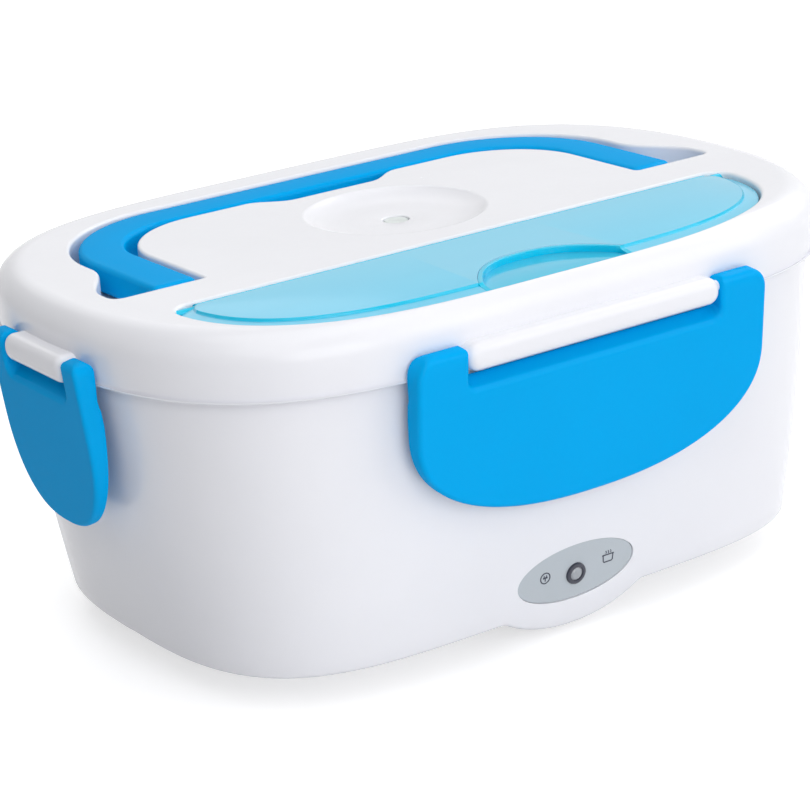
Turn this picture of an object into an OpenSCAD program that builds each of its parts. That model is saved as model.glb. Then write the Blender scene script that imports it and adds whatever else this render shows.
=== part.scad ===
// Electric lunch box: a heated base with a food tray and a side dish box, and a
// lift-off lid held by four hinged latches. The lid carries a fold-down handle,
// a spoon compartment with a hinged cover, and a steam vent with a pull plug.
// Millimetres. Origin on the floor under the middle, +X right, -Y front, +Z up.

/* [Body] */
// Length of the body at its lower edge
foot_len = 199; // [190:1:206]
// Width of the body at its lower edge
foot_wid = 135; // [129:1:142]
// Height of the body from its lower edge to its rim
body_h = 81.5; // [76:0.5:90]
// Space between the floor and the lower edge of the body
base_gap = 8.5; // [7.5:0.5:11]
// Wall of the outer body
body_wall = 2.4; // [2:0.1:3]
// Outward bow of the body's walls at half height
body_bow = 0.8; // [0:0.1:2]
// Radius round the body's lower edge
edge_r = 1.4; // [0.8:0.1:1.8]

/* [Lid] */
// Length of the lid
lid_len = 230; // [222:1:240]
// Width of the lid
lid_wid = 160; // [154:1:168]
// Wall of the lid shell
lid_wall = 2.4; // [2:0.1:3]
// Drop of the lid's skirt below the body's rim
skirt_drop = 2.5; // [1.5:0.5:4]
// Radius of the shoulder round the lid's top
shoulder_r = 8; // [5:0.5:9]
// Depth of the pockets in the lid's top
pocket_depth = 9; // [8.5:0.5:12]
// Thickness of the pockets' floors
pocket_floor = 1.4; // [1:0.1:2]
// Thickness of the lid's inner plate
lid_liner_t = 1.8; // [1.4:0.1:2.4]
// Width of the steam dish
dish_wid = 52; // [46:1:54]
// Depth of the steam dish
dish_depth = 2.8; // [2:0.1:3.6]
// Diameter of the steam hole
vent_bore = 7.6; // [6:0.2:9]

/* [Handle] */
// Outer width of the handle
handle_wid = 176; // [168:1:178]
// Reach of the handle from its recess's front edge to its back
handle_reach = 72; // [68:0.5:74]
// Width of the handle's bar
handle_bar = 13; // [11:0.5:15]
// Thickness of the handle
handle_t = 8; // [7:0.5:8.2]
// Radius of the handle's outer corners
handle_corner = 38; // [30:1:42]
// Diameter of the handle's pivot pins
handle_pin = 4; // [3:0.2:5]
// Front edge of the handle's recess, in front of the middle
recess_front = 11; // [8:0.5:12]
// Gap behind the back edge of the middle panel
panel_gap = 2; // [1.5:0.5:4]

/* [Spoon compartment] */
// Length of the spoon cover
cover_len = 184; // [176:1:190]
// Width of the spoon cover, from its hinge edge to its front
cover_wid = 40.5; // [36:0.5:42]
// Thickness of the spoon cover
cover_t = 1.8; // [1.4:0.1:2.4]
// Straight back edge of the cover, in front of the middle
cover_back = 29; // [27:0.5:32]
// Width of the finger notch in the cover
notch_wid = 44; // [36:1:52]
// Depth of the finger notch in the cover
notch_depth = 14; // [10:0.5:16]
// Length of the spoon
spoon_len = 152; // [130:1:158]

/* [Latches] */
// How far the latches stand out from the lid's widest point
latch_proud = 4.8; // [4.6:0.1:6]
// Thickness of a latch's plate
latch_t = 2.4; // [2:0.1:3]
// Width of a long latch, on the front and back
long_latch_wid = 113; // [106:1:118]
// Width of a short latch, on the ends
short_latch_wid = 49; // [46:1:54]
// Width of each ear of a latch
ear_wid = 15.5; // [13:0.5:17]
// Width of each ear of a short latch
short_ear_wid = 8; // [7:0.5:9]
// Depth of the latches below their pivots
latch_drop = 47; // [42:0.5:50]
// Drop from the pivot to the ledge of the latch's window
window_drop = 8.5; // [8:0.5:11]
// Lean of the latches' plates towards the body, in degrees
latch_lean = 6; // [3:0.5:6]
// Diameter of the latch pins
latch_pin = 3; // [2.4:0.2:3.6]
// Height of the latch pins above the body's rim
pivot_rise = 1.8; // [1.4:0.2:3]

/* [Containers] */
// Length of the food tray's mouth
tray_len = 198; // [188:1:202]
// Width of the food tray's mouth
tray_wid = 132; // [124:1:136]
// Depth of the food tray
tray_depth = 52; // [44:1:56]
// Slope of the tray's walls, mouth to floor
tray_draft = 8; // [5:0.5:12]
// Wall of the food tray
tray_wall = 1.4; // [1:0.1:2]
// Length of the side dish box
dish_box_len = 76; // [64:1:84]
// Width of the side dish box
dish_box_wid = 96; // [84:1:102]
// Height of the side dish box
dish_box_h = 42; // [36:1:44]

/* [Heater and supply] */
// Length of the heating plate
plate_len = 124; // [110:1:130]
// Width of the heating plate
plate_wid = 84; // [76:1:88]
// Thickness of the heating plate
plate_t = 2; // [1.5:0.1:3]
// Length of the heating element
element_len = 44; // [36:1:50]
// Distance between the supply pins
pin_pitch = 8.6; // [8:0.1:9.2]
// Diameter of the supply pins
pin_d = 2.4; // [2:0.1:2.6]
// Width of the label
label_wid = 39; // [34:1:42]
// Height of the label
label_h = 16.2; // [14:0.2:18]
// Width of the lamp's bezel
bezel_d = 6.8; // [6:0.2:8]

/* [Hidden] */
ring_n = 64;
fine = 48;
fit_gap = 0.3;
lid_gap = 0.5;
run_gap = 0.06;
touch = 0.02;
lid_px = 4.4;
lid_py = 2.3;
foot_px = 5.3;
foot_py = 3.0;

// Heights, stacked from the floor up
rim_z = base_gap + body_h;
skirt_z = rim_z - skirt_drop;
seat_t = 1.4;
tray_seat_z = rim_z + seat_t;
tray_lip_t = 1;
tray_top_z = tray_seat_z + tray_lip_t;
seal_squeeze = 0.4;
lid_under_z = tray_top_z + seal_squeeze;
pocket_under_z = lid_under_z + lid_liner_t;
pocket_z = pocket_under_z + pocket_floor;
top_z = pocket_z + pocket_depth;

// Half sizes of the lid and of the body's rim and lower edge
lid_a = lid_len / 2;
lid_b = lid_wid / 2;
lid_taper = 0.5;
lid_top_t = 2.2;
pocket_wall = 1.6;
rim_a = lid_a - lid_wall - lid_gap;
rim_b = lid_b - lid_wall - lid_gap;
foot_a = foot_len / 2;
foot_b = foot_wid / 2;

// Latches
ear_r = 3;
latch_reach = latch_proud - ear_r;
pivot_z = rim_z + pivot_rise;
rail_drop = 1.4;
rail_round = 3.5;
long_curve_h = 28;
long_curve_p = 2.3;
short_curve_h = 30;
short_curve_p = 2.1;
latch_rim_t = 1.8;
latch_rim_in = 2.6;
ledge_rise = 2.8;
hook_in = 4.2;
hook_t = 2;
hook_gap = 0.3;
catch_t = 2;
catch_drop = 21;
catch_long = 64;
catch_short = 22;
ear_cap = 3;
ear_round = 6;
short_ear_round = 3.5;
ear_crest = 0.4;
ear_seam = 0.4;

// Handle
handle_a = handle_wid / 2;
handle_back = handle_reach - recess_front;
handle_in_a = handle_a - handle_bar;
handle_in_back = handle_back - handle_bar;
arm_gap = 2.5;
channel_gap = 1.5;
panel_a = handle_in_a - arm_gap;
panel_back = handle_in_back - panel_gap;
panel_corner = handle_corner - 10.5;
recess_half = 26;
recess_flat = 13;
recess_in = 6.5;
arm_pocket_a = handle_a + 11.5;
arm_pocket_r = 3;
flare_front = 6;
flare_len = 24;
handle_drop = 0.2;
handle_end_gap = 0.7;
handle_z = top_z - handle_t / 2 - handle_drop;
handle_y = handle_end_gap + handle_t / 2 - recess_front;
handle_pin_in = 3.5;
handle_edge = 1.6;

// Spoon cover
cover_a = cover_len / 2;
cover_px = 4;
cover_py = 2.2;
cover_n = 40;
cover_edge = 4;
cover_x = -3;
cover_corner = 6;
pocket_corner = 3;
cover_edge_drop = 1;
cover_gap = 0.5;
barrel_r = 1.6;
barrel_y = -cover_back - barrel_r;
barrel_z = top_z - barrel_r;
cover_front = cover_back + cover_wid + cover_edge;
cover_pin_r = 1.1;
cover_pin_len = 2.2;
notch_y = -cover_back - cover_wid;
tab_t = 1.2;

// Spoon
spoon_bowl = 15.5;
spoon_neck = 3.2;
spoon_grip = 6.5;
spoon_t = 1.2;
spoon_deep = 3.4;
spoon_camber = 0.15;
spoon_lift = spoon_deep + 0.12;
spoon_y = barrel_y - 19;

// Vent
dish_r = dish_wid / 2;
dish_floor_r = 12.5;
dish_y = 7;
dish_boss_t = 2.6;
vent_r = vent_bore / 2;
plug_sink = 0.3;
plug_rise = 3;
plug_flange = 1.1;
plug_flange_t = 1.4;
chamber_r = vent_r + plug_flange + fit_gap;
dish_floor_z = top_z - dish_depth;
boss_under_z = dish_floor_z - dish_boss_t;

// Containers
tray_a = tray_len / 2;
tray_b = tray_wid / 2;
tray_lip = 4;
tray_z = tray_seat_z - tray_depth;
tray_round = 4;
well_gap = 1.2;
well_t = 1.6;
well_floor_t = 1.8;
well_z = tray_z - plate_t - well_floor_t;
dish_box_t = 1.4;
dish_box_x = 36;
dish_box_z = tray_z + tray_wall;
dish_box_p = 5;
dish_box_draft = 4;
dish_box_lip = 1.6;
dish_lid_t = 1.4;
dish_lid_skirt = 5;

// Base plate and feet
plate_rise = 2;
pan_t = 2;
pan_drop = 5;
pan_in = 22;
pan_z = base_gap - pan_drop;
floor_z = pan_z + pan_t;
foot_r = 7;
foot_seat = 1;
foot_x = foot_a - 41.5;
foot_y = foot_b - 38.5;
boss_r = 4;
boss_h = 20;
boss_x = foot_a - 17;
boss_y = foot_b - 21.5;
boss_web = 1.8;
screw_r = 1.5;
small_r = 1.3;
head_h = 1.5;

// Lamp panel
pod_a = 28.9;
pod_b = 16.2;
pod_rise = 9.8;
pod_z = base_gap + pod_rise;
pod_depth = 12;
label_sink = 0.8;
label_t = 0.5;
bezel_t = 0.8;
bezel_tube_r = 2.6;
bezel_tube = 1.6;
lens_d = 4;
lamp_y = -0.8;
board_gap = 6;
board_t = 1.2;
board_size = [28, 9];
post_x = 10.5;
post_r = 2.2;
peg_r = 1.2;
led_r = 1.5;

// Heater
heater_z = tray_z - plate_t;
heater_r = 10;
heater_shelf = 12;
bolt_in = 6;
bolt_r = 1.6;
element_wid = 30;
element_t = 5;
element_x = 12;
strap_t = 1.5;
strap_over = 9;
strap_wid = 16;
thermostat_x = -36;
thermostat_r = 8;
thermostat_h = 9;
thermostat_bolt = 12.5;
bolt_points = [
  for (x = [-1, 1], y = [-1, 1]) [x * (plate_len / 2 - bolt_in), y * (plate_wid / 2 - bolt_in)]
];
strap_points = [
  for (y = [-1, 1]) [element_x, y * (element_wid / 2 + (strap_over + strap_t) / 2)]
];
thermostat_points = [for (y = [-1, 1]) [thermostat_x, y * thermostat_bolt]];
fuse_pos = [-22, 25];
fuse_r = 2;
fuse_len = 12;

// Supply inlet
inlet_rise = 15;
inlet_z = base_gap + inlet_rise;
pad_size = [36, 22];
flange_size = [32, 18];
flange_t = 1.5;
socket_size = [22, 13.4];
socket_depth = 17;
recess_depth = 11;
recess_r = 3.9;
recess_web = 4.4;
pin_len = 10;
pin_tail = 5;
pin_shank_r = pin_d / 2 + 0.3;
pin_tail_r = pin_d / 2 - 0.2;
inlet_screw_x = 13.2;
pad_y = body_b(inlet_z + pad_size[1] / 2);

// Wires
wire_r = 1.1;
wire_sides = 6;
wire_steps = 3;
wire_low_z = floor_z + 6;

white = [0.94, 0.95, 0.97];
blue = [0.02, 0.62, 0.92];
clear_blue = [0.45, 0.80, 0.95];
steel = [0.72, 0.73, 0.75];
dark = [0.12, 0.12, 0.14];

// ---- Curves and lofts ----

function mix(a, b, s) = a + (b - a) * s;
function signed_pow(v, p) = sign(v) * pow(abs(v), p);

// A squared-off oval with half sizes a and b, at height z
function oval(a, b, px, py, z, n = ring_n) = [
  for (i = [0:n - 1])
    let (t = 360 * (i + 0.5) / n)
      [a * signed_pow(cos(t), 2 / px), b * signed_pow(sin(t), 2 / py), z]
];

// The lid's outline, drawn in by inset
function lid_ring(inset, z) = oval(lid_a - inset, lid_b - inset, lid_px, lid_py, z);

// The body's half sizes at height z, and its outline drawn in by inset
function rise(z) = (z - base_gap) / body_h;
function body_a(z) = mix(foot_a, rim_a, rise(z)) + body_bow * sin(180 * rise(z));
function body_b(z) = mix(foot_b, rim_b, rise(z)) + body_bow * sin(180 * rise(z));
function body_ring(inset, z) = oval(
  body_a(z) - inset, body_b(z) - inset,
  mix(foot_px, lid_px, rise(z)), mix(foot_py, lid_py, rise(z)), z
);
function wall_tilt(z) = atan((body_b(z + 1) - body_b(z - 1)) / 2);

// An outline of the containers' family
function pan_ring(a, b, z) = oval(a, b, lid_px, lid_py, z);
function base_ring(inset, z) = oval(foot_a - inset, foot_b - inset, foot_px, foot_py, z);

// Join a stack of equal rings: capped at both ends, or closed into a loop
module skin(rings, loop = false) {
  n = len(rings[0]);
  m = len(rings);
  sides = [
    for (j = [0:m - (loop ? 1 : 2)], i = [0:n - 1])
      let (k = (j + 1) % m, h = (i + 1) % n)
        [j * n + i, k * n + i, k * n + h, j * n + h]
  ];
  caps = loop ? [] : [[for (i = [0:n - 1]) i], [for (i = [n - 1:-1:0]) (m - 1) * n + i]];
  polyhedron([for (r = rings) each r], concat(sides, caps), convexity = 10);
}

// A prism of a ring's outline, from its own height up by h
module prism(ring, h) {
  translate([0, 0, ring[0][2]]) linear_extrude(h) polygon([for (p = ring) [p[0], p[1]]]);
}

module oval_2d(a, b, n = 48) {
  polygon([for (i = [0:n - 1]) [a * cos(360 * i / n), b * sin(360 * i / n)]]);
}

// A rectangle from front to back whose two back corners are round
module tongue_2d(half, front, back, r) {
  translate([-half, front]) square([2 * half, back - r - front]);
  translate([-(half - r), front]) square([2 * (half - r), back - front]);
  for (side = [-1, 1]) translate([side * (half - r), back - r]) circle(r, $fn = 2 * fine);
}

module round_rect_2d(size, r) {
  square([size[0] - 2 * r, size[1]], center = true);
  square([size[0], size[1] - 2 * r], center = true);
  for (x = [-1, 1], y = [-1, 1])
    translate([x * (size[0] / 2 - r), y * (size[1] / 2 - r)]) circle(r, $fn = fine);
}

// A bar along X, centred
module bar_x(r, len) {
  rotate([0, 90, 0]) cylinder(r = r, h = len, center = true, $fn = fine);
}

// Places on the front wall: x along the wall, y up it, z out of it
module on_front_wall(z) {
  translate([0, -body_b(z), z]) rotate([90 + wall_tilt(z), 0, 0]) children();
}

// The four latch places: the latch's own -Y faces out
module at_front() { translate([0, -(lid_b + latch_reach), 0]) children(); }
module at_back() { rotate([0, 0, 180]) at_front() children(); }
module at_left() { rotate([0, 0, -90]) translate([0, -(lid_a + latch_reach), 0]) children(); }
module at_right() { rotate([0, 0, 180]) at_left() children(); }

// A tube along a smooth curve through points
function catmull(p, i, s) =
  let (
    a = p[max(i - 1, 0)], b = p[i], c = p[i + 1], d = p[min(i + 2, len(p) - 1)]
  ) 0.5 * (2 * b + (c - a) * s + (2 * a - 5 * b + 4 * c - d) * s * s
    + (3 * b - a - 3 * c + d) * s * s * s);
function smooth_path(p, steps) = concat(
  [for (i = [0:len(p) - 2], k = [0:steps - 1]) catmull(p, i, k / steps)], [p[len(p) - 1]]
);
function unit(v) = v / norm(v);
function tangents(c) = [
  for (i = [0:len(c) - 1]) unit(c[min(i + 1, len(c) - 1)] - c[max(i - 1, 0)])
];
function side_steps(t, i, n) =
  i == len(t) ? [] : let (s = unit(n - (n * t[i]) * t[i])) concat([s], side_steps(t, i + 1, s));
module tube(points, r, sides = wire_sides, steps = wire_steps) {
  c = smooth_path(points, steps);
  t = tangents(c);
  start = abs(t[0][2]) < 0.8 ? [0, 0, 1] : [1, 0, 0];
  n = side_steps(t, 0, start);
  skin([
    for (i = [0:len(c) - 1])
      let (b = cross(t[i], n[i]))
        [for (k = [0:sides - 1]) c[i] + r * (n[i] * cos(360 * k / sides) + b * sin(360 * k / sides))]
  ]);
}

// ---- Lid ----

// The middle panel between the handle's arms, with its finger recess
module panel_2d(inset = 0) {
  steps = 24;
  span = recess_half - recess_flat;
  difference() {
    tongue_2d(panel_a - inset, -recess_front - pocket_wall, panel_back - inset, panel_corner - inset);
    polygon([
      [-recess_half, panel_back + 1],
      for (i = [-steps:steps])
        let (
          x = recess_half * i / steps,
          s = min(1, max(0, (recess_half - abs(x)) / span)),
          depth = recess_in * (1 - cos(180 * s)) / 2
        ) [x * (1 + inset / recess_half), panel_back - depth - inset],
      [recess_half, panel_back + 1]
    ]);
  }
}

// The outer edge of the pocket beside a handle arm, from its front corner to the
// end of the flare where it meets the recess's side
function pocket_edge(grow) =
  let (r = arm_pocket_r + grow, steps = 8)
    concat(
      [for (t = [-90:30:0]) [
        arm_pocket_a + grow - r + r * cos(t), r - recess_front - grow + r * sin(t)
      ]],
      [for (i = [0:steps])
        let (s = i / steps) [
          grow + mix(arm_pocket_a, handle_a + channel_gap, (1 - cos(180 * s)) / 2),
          flare_front - recess_front + flare_len * s
        ]]
    );

// Outline of the handle's recess, grown by grow
module channel_2d(grow = 0) {
  front = -recess_front - grow;
  tongue_2d(
    handle_a + channel_gap + grow, front, handle_back + channel_gap + grow,
    handle_corner + channel_gap + grow
  );
  edge = pocket_edge(grow);
  polygon([for (p = edge) p, for (i = [len(edge) - 1:-1:0]) [-edge[i][0], edge[i][1]]]);
}

// How far a round corner of radius r draws an outline in, at a distance d from its edge
function corner_in(d, r) = d < r ? r - sqrt(r * r - (r - d) * (r - d)) : 0;

// Outline of the spoon cover in front of its hinge, grown by grow
function cover_ring(grow, z, corner = cover_corner) = [
  for (i = [0:cover_n])
    let (
      t = 180 + 180 * i / cover_n,
      y = (cover_wid + cover_edge - barrel_r + grow) * signed_pow(sin(t), 2 / cover_py),
      back = max(grow, 0)
    ) [
      (cover_a + grow) * signed_pow(cos(t), 2 / cover_px)
        - sign(cos(t)) * corner_in(barrel_r + back - y, corner + back),
      barrel_y + y,
      z
    ]
];

// Outline of the cover's pocket with its round back corners
module cover_2d(grow) {
  steps = 5;
  back = barrel_r + grow;
  side = [
    for (i = [0:steps - 1])
      let (d = back * pow(i / steps, 2))
        [cover_a + grow - corner_in(d, pocket_corner + grow), barrel_y + back - d]
  ];
  polygon([
    for (p = side) [-p[0], p[1]],
    for (p = cover_ring(grow, 0, pocket_corner)) [p[0], p[1]],
    for (i = [steps - 1:-1:0]) side[i]
  ]);
}

// Stand a drawing of the front up, from depth y = back to y = front
module upright(back, front) {
  translate([0, back, 0]) rotate([90, 0, 0]) linear_extrude(back - front) children();
}

// The rail between a latch's ears
module latch_rail(wid, ear) {
  half = wid / 2 - ear - fit_gap;
  high = rail_drop + 2 * ear_r;
  intersection() {
    union() {
      for (drop = [0, rail_drop]) translate([0, 0, -drop]) bar_x(ear_r, 2 * half);
      translate([-half, -ear_r, -rail_drop]) cube([2 * half, 2 * ear_r, rail_drop]);
      translate([-half, 0, -rail_drop - ear_r])
        cube([2 * half, latch_reach + lid_wall / 2, high]);
    }
    translate([0, 0, -rail_drop / 2]) upright(2 * ear_r, -2 * ear_r)
      round_rect_2d([2 * half, high], rail_round);
  }
}

// The two pins that carry a latch, one into each ear
module latch_pins(wid, ear) {
  half = wid / 2 - ear - fit_gap;
  reach = wid / 2 - ear_cap - fit_gap - half + 1;
  for (side = [-1, 1]) translate([side * (half - 1 + reach / 2), 0, 0]) bar_x(latch_pin / 2, reach);
}

// Flats cut into the lid's skirt behind a latch's ears
module ear_relief(wid, ear) {
  for (side = [-1, 1])
    translate([side * (wid / 2 - ear / 2), 0, 0])
      translate([-ear / 2 - fit_gap, -2 * ear_r, skirt_z - pivot_z - 1])
        cube([ear + 2 * fit_gap, 3 * ear_r + fit_gap, pivot_z - skirt_z + ear_r + 2]);
}

module lid_cap() {
  shoulder = [for (t = [0:15:90]) [
    lid_taper + shoulder_r * (1 - cos(t)), top_z - shoulder_r * (1 - sin(t))
  ]];
  skin([
    lid_ring(lid_wall + shoulder_r, top_z - lid_top_t),
    lid_ring(lid_wall + lid_taper + 1.6, top_z - shoulder_r + 1.6),
    lid_ring(lid_wall + lid_taper, top_z - shoulder_r - 1),
    lid_ring(lid_wall, skirt_z),
    lid_ring(0.3, skirt_z),
    lid_ring(0, skirt_z + 0.6),
    for (s = shoulder) lid_ring(s[0], s[1])
  ]);
}

// The steam dish, cut down from above the lid
module dish_2d() {
  steps = 8;
  polygon([
    [0, top_z + 1],
    [0, dish_floor_z],
    for (i = [0:steps])
      let (s = i / steps)
        [mix(dish_floor_r, dish_r, s), mix(dish_floor_z, top_z, (1 - cos(180 * s)) / 2)],
    [dish_r, top_z + 1]
  ]);
}

module lid_shell() {
  wall_h = top_z - pocket_under_z - lid_top_t / 2;
  block_z = barrel_z - cover_pin_r - 1.6;
  pin_block = [cover_pin_len + fit_gap + 1.6, 2 * cover_pin_r + 3, top_z - 0.2 - block_z];
  color(white) union() {
    difference() {
      union() {
        lid_cap();
        translate([0, 0, pocket_under_z]) linear_extrude(wall_h) difference() {
          channel_2d(pocket_wall);
          panel_2d(pocket_wall);
        }
        translate([cover_x, 0, pocket_under_z]) linear_extrude(wall_h)
          cover_2d(cover_gap + pocket_wall);
        translate([0, dish_y, boss_under_z])
          cylinder(r = dish_r + 1, h = top_z - boss_under_z - lid_top_t / 2, $fn = 2 * fine);
        translate([0, dish_y, pocket_under_z])
          cylinder(r = chamber_r + pocket_wall, h = wall_h - dish_depth, $fn = fine);
        for (side = [-1, 1]) {
          translate([side * (panel_a - handle_pin_in), handle_y, handle_z])
            bar_x(handle_t / 2, 2 * handle_pin_in);
          translate([
            cover_x + side * (cover_a + cover_gap + pin_block[0] / 2 - 0.1), barrel_y,
            block_z + pin_block[2] / 2
          ]) cube(pin_block, center = true);
        }
        translate([0, 0, pivot_z]) {
          at_front() latch_rail(long_latch_wid, ear_wid);
          at_back() latch_rail(long_latch_wid, ear_wid);
          at_left() latch_rail(short_latch_wid, short_ear_wid);
          at_right() latch_rail(short_latch_wid, short_ear_wid);
        }
      }
      translate([0, 0, pocket_z]) linear_extrude(pocket_depth + 1) difference() {
        channel_2d();
        panel_2d();
      }
      translate([cover_x, 0, pocket_z]) linear_extrude(pocket_depth + 1) cover_2d(cover_gap);
      translate([0, dish_y, 0]) {
        rotate_extrude($fn = 2 * fine) dish_2d();
        translate([0, 0, pocket_under_z - 1]) cylinder(r = vent_r, h = top_z, $fn = fine);
        translate([0, 0, pocket_under_z - 1])
          cylinder(r = chamber_r, h = boss_under_z - pocket_under_z + 1, $fn = fine);
      }
      for (side = [-1, 1]) {
        translate([side * (panel_a - handle_pin_in / 2), handle_y, handle_z])
          bar_x(handle_pin / 2 + run_gap, handle_pin_in + 2 * fit_gap);
        translate([
          cover_x + side * (cover_a + (cover_pin_len - cover_corner) / 2), barrel_y, barrel_z
        ]) bar_x(cover_pin_r + run_gap, cover_pin_len + cover_corner + 2 * fit_gap);
      }
      translate([0, 0, pivot_z]) for (turn = [0, 180]) rotate([0, 0, turn]) {
        at_front() ear_relief(long_latch_wid, ear_wid);
        at_left() ear_relief(short_latch_wid, short_ear_wid);
      }
    }
    translate([0, 0, pivot_z]) for (turn = [0, 180]) rotate([0, 0, turn]) {
      at_front() latch_pins(long_latch_wid, ear_wid);
      at_left() latch_pins(short_latch_wid, short_ear_wid);
    }
  }
}

// The plate that closes the lid's underside, with a groove for the seal
liner_in = 1.2;
seal_wid = 2.4;
seal_in = tray_a + tray_lip / 2 + seal_wid / 2;
seal_in_b = tray_b + tray_lip / 2 + seal_wid / 2;
seal_sink = 0.8;
module seal_band(grow, z, h) {
  difference() {
    prism(pan_ring(seal_in + grow, seal_in_b + grow, z), h);
    prism(pan_ring(seal_in - seal_wid - grow, seal_in_b - seal_wid - grow, z - 1), h + 2);
  }
}
module lid_liner() {
  color(white) difference() {
    prism(lid_ring(lid_wall + lid_taper + liner_in, lid_under_z), lid_liner_t);
    seal_band(touch, lid_under_z - 1, seal_sink + 1);
    translate([0, dish_y, lid_under_z - 1]) cylinder(r = vent_r, h = lid_liner_t + 2, $fn = fine);
  }
}

module lid_seal() {
  color(white) seal_band(0, tray_top_z + touch, lid_under_z + seal_sink - tray_top_z - touch);
}

// The steam vent's plug: a button with a stop flange below the hole
module vent_plug() {
  flange_z = boss_under_z - plug_rise - plug_flange_t;
  color(clear_blue) translate([0, dish_y, 0]) {
    rotate_extrude($fn = fine) polygon([
      [0, flange_z],
      [vent_r + plug_flange, flange_z],
      [vent_r + plug_flange, flange_z + plug_flange_t],
      [vent_r - run_gap, flange_z + plug_flange_t],
      [vent_r - run_gap, dish_floor_z - plug_sink - 0.6],
      [vent_r - run_gap - 0.6, dish_floor_z - plug_sink],
      [0, dish_floor_z - plug_sink - 0.3]
    ]);
  }
}

// ---- Spoon compartment ----

module notch_2d(grow = 0) {
  steps = 12;
  half = notch_wid / 2 + grow;
  polygon([
    [-half, notch_y - cover_edge - 1],
    for (i = [-steps:steps])
      [half * i / steps, notch_y + (notch_depth + grow) * (1 - pow(abs(i / steps), 2.6))],
    [half, notch_y - cover_edge - 1]
  ]);
}

module spoon_cover() {
  under_z = top_z - cover_t;
  color(clear_blue, 0.6) translate([cover_x, 0, 0]) union() {
    difference() {
      skin([
        cover_ring(0, under_z - cover_edge_drop),
        cover_ring(0, top_z - cover_edge_drop),
        cover_ring(-cover_edge, top_z)
      ]);
      translate([0, 0, under_z - 2]) linear_extrude(cover_t + 4) notch_2d();
      translate([0, 0, under_z - cover_edge_drop - 1])
        prism(cover_ring(-cover_edge, 0), cover_edge_drop + 1);
    }
    translate([0, 0, under_z - tab_t]) linear_extrude(tab_t) intersection() {
      notch_2d(1);
      polygon([for (p = cover_ring(0, 0)) [p[0], p[1]]]);
    }
    translate([0, barrel_y, barrel_z]) {
      bar_x(barrel_r, cover_len - 2 * cover_corner + 2);
      bar_x(cover_pin_r, cover_len + 2 * cover_pin_len);
    }
  }
}

// The spoon's half width, height and dish at a place 0..1 from bowl tip to handle end
function spoon_half(s) = s < 0.32
  ? spoon_bowl * pow(sin(180 * min(1, (s + 0.012) / 0.36)), 0.62) + 0.4
  : mix(spoon_neck, spoon_grip, pow((s - 0.32) / 0.68, 1.6));
function spoon_dish(s) = max(
  spoon_camber, s < 0.34 ? spoon_deep * pow(sin(180 * s / 0.34), 0.8) : 0
);
module spoon() {
  steps = 30;
  m = 10;
  color(steel) translate([cover_x - spoon_len / 2, spoon_y, pocket_z + spoon_lift]) skin([
    for (k = [0:steps])
      let (
        s = k / steps,
        w = (k == steps ? 0.6 : 1) * max(spoon_neck, spoon_half(s)) * (k == 0 ? 0.35 : 1),
        rise = 0.7 * pow(sin(90 * max(0, s - 0.34) / 0.66), 2)
      ) [
        for (i = [0:2 * m - 1])
          let (
            u = i < m ? -1 + 2 * i / (m - 1) : 1 - 2 * (i - m) / (m - 1),
            z = rise + spoon_dish(s) * (u * u - 1) * min(1, w / spoon_bowl)
          ) [s * spoon_len, u * w, z + (i < m ? 0 : spoon_t)]
      ]
  ]);
}

// ---- Handle ----

module bar_profile_2d() {
  round_rect_2d([handle_bar, handle_t], handle_edge);
}

module handle() {
  bend_r = handle_corner - handle_bar / 2;
  arm_x = handle_a - handle_bar / 2;
  bend_x = handle_a - handle_corner;
  bend_y = handle_back - handle_corner;
  color(blue) translate([0, 0, handle_z]) union() {
    rotate([90, 0, 90]) translate([handle_back - handle_bar / 2, 0, -bend_x])
      linear_extrude(2 * bend_x) bar_profile_2d();
    for (side = [-1, 1]) {
      translate([side * arm_x, bend_y, 0]) rotate([90, 0, 0])
        linear_extrude(bend_y - handle_y) bar_profile_2d();
      translate([side * bend_x, bend_y, 0]) rotate([0, 0, side > 0 ? 0 : 90])
        rotate_extrude(angle = 90, $fn = 2 * fine) translate([bend_r, 0]) bar_profile_2d();
      translate([side * arm_x, handle_y, 0]) rotate([0, 90, 0]) rotate_extrude($fn = fine)
        intersection() {
          rotate([0, 0, 90]) bar_profile_2d();
          translate([0, -handle_bar]) square([handle_t, 2 * handle_bar]);
        }
      translate([side * (handle_in_a + panel_a - handle_pin_in) / 2, handle_y, 0])
        bar_x(handle_pin / 2, handle_in_a - panel_a + handle_pin_in);
    }
  }
}

// ---- Latches ----

// A latch's front, drawn about its pivot: x across, y up
module latch_2d(wid, curve_h, curve_p, inset = 0) {
  steps = 16;
  half = wid / 2 - inset;
  drop = latch_drop - inset;
  top = -window_drop - inset;
  start = curve_h - drop;
  polygon([
    [-half, top],
    for (i = [-steps:steps])
      let (t = 90 * i / steps)
        [
          half * signed_pow(sin(t), 2 / curve_p),
          start - curve_h * pow(cos(t), 2 / curve_p)
        ],
    [half, top]
  ]);
}

// A place (depth, height) on a latch's plate once the plate leans in
function leaned(y, z) = [
  y * cos(latch_lean) - z * sin(latch_lean), y * sin(latch_lean) + z * cos(latch_lean)
];

// A place that stays upright, drawn on the leaning plate
function stood(y, z) = [
  y * cos(latch_lean) + z * sin(latch_lean), z * cos(latch_lean) - y * sin(latch_lean)
];

// The side view of an ear: its front is the plate's and its back stands upright
module ear_side_2d() {
  low = window_drop + latch_rim_t;
  circle(ear_r, $fn = fine);
  polygon([[-ear_r, 0], [-ear_r, -low], stood(ear_r, -low), stood(ear_r, -ear_seam)]);
}

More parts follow.
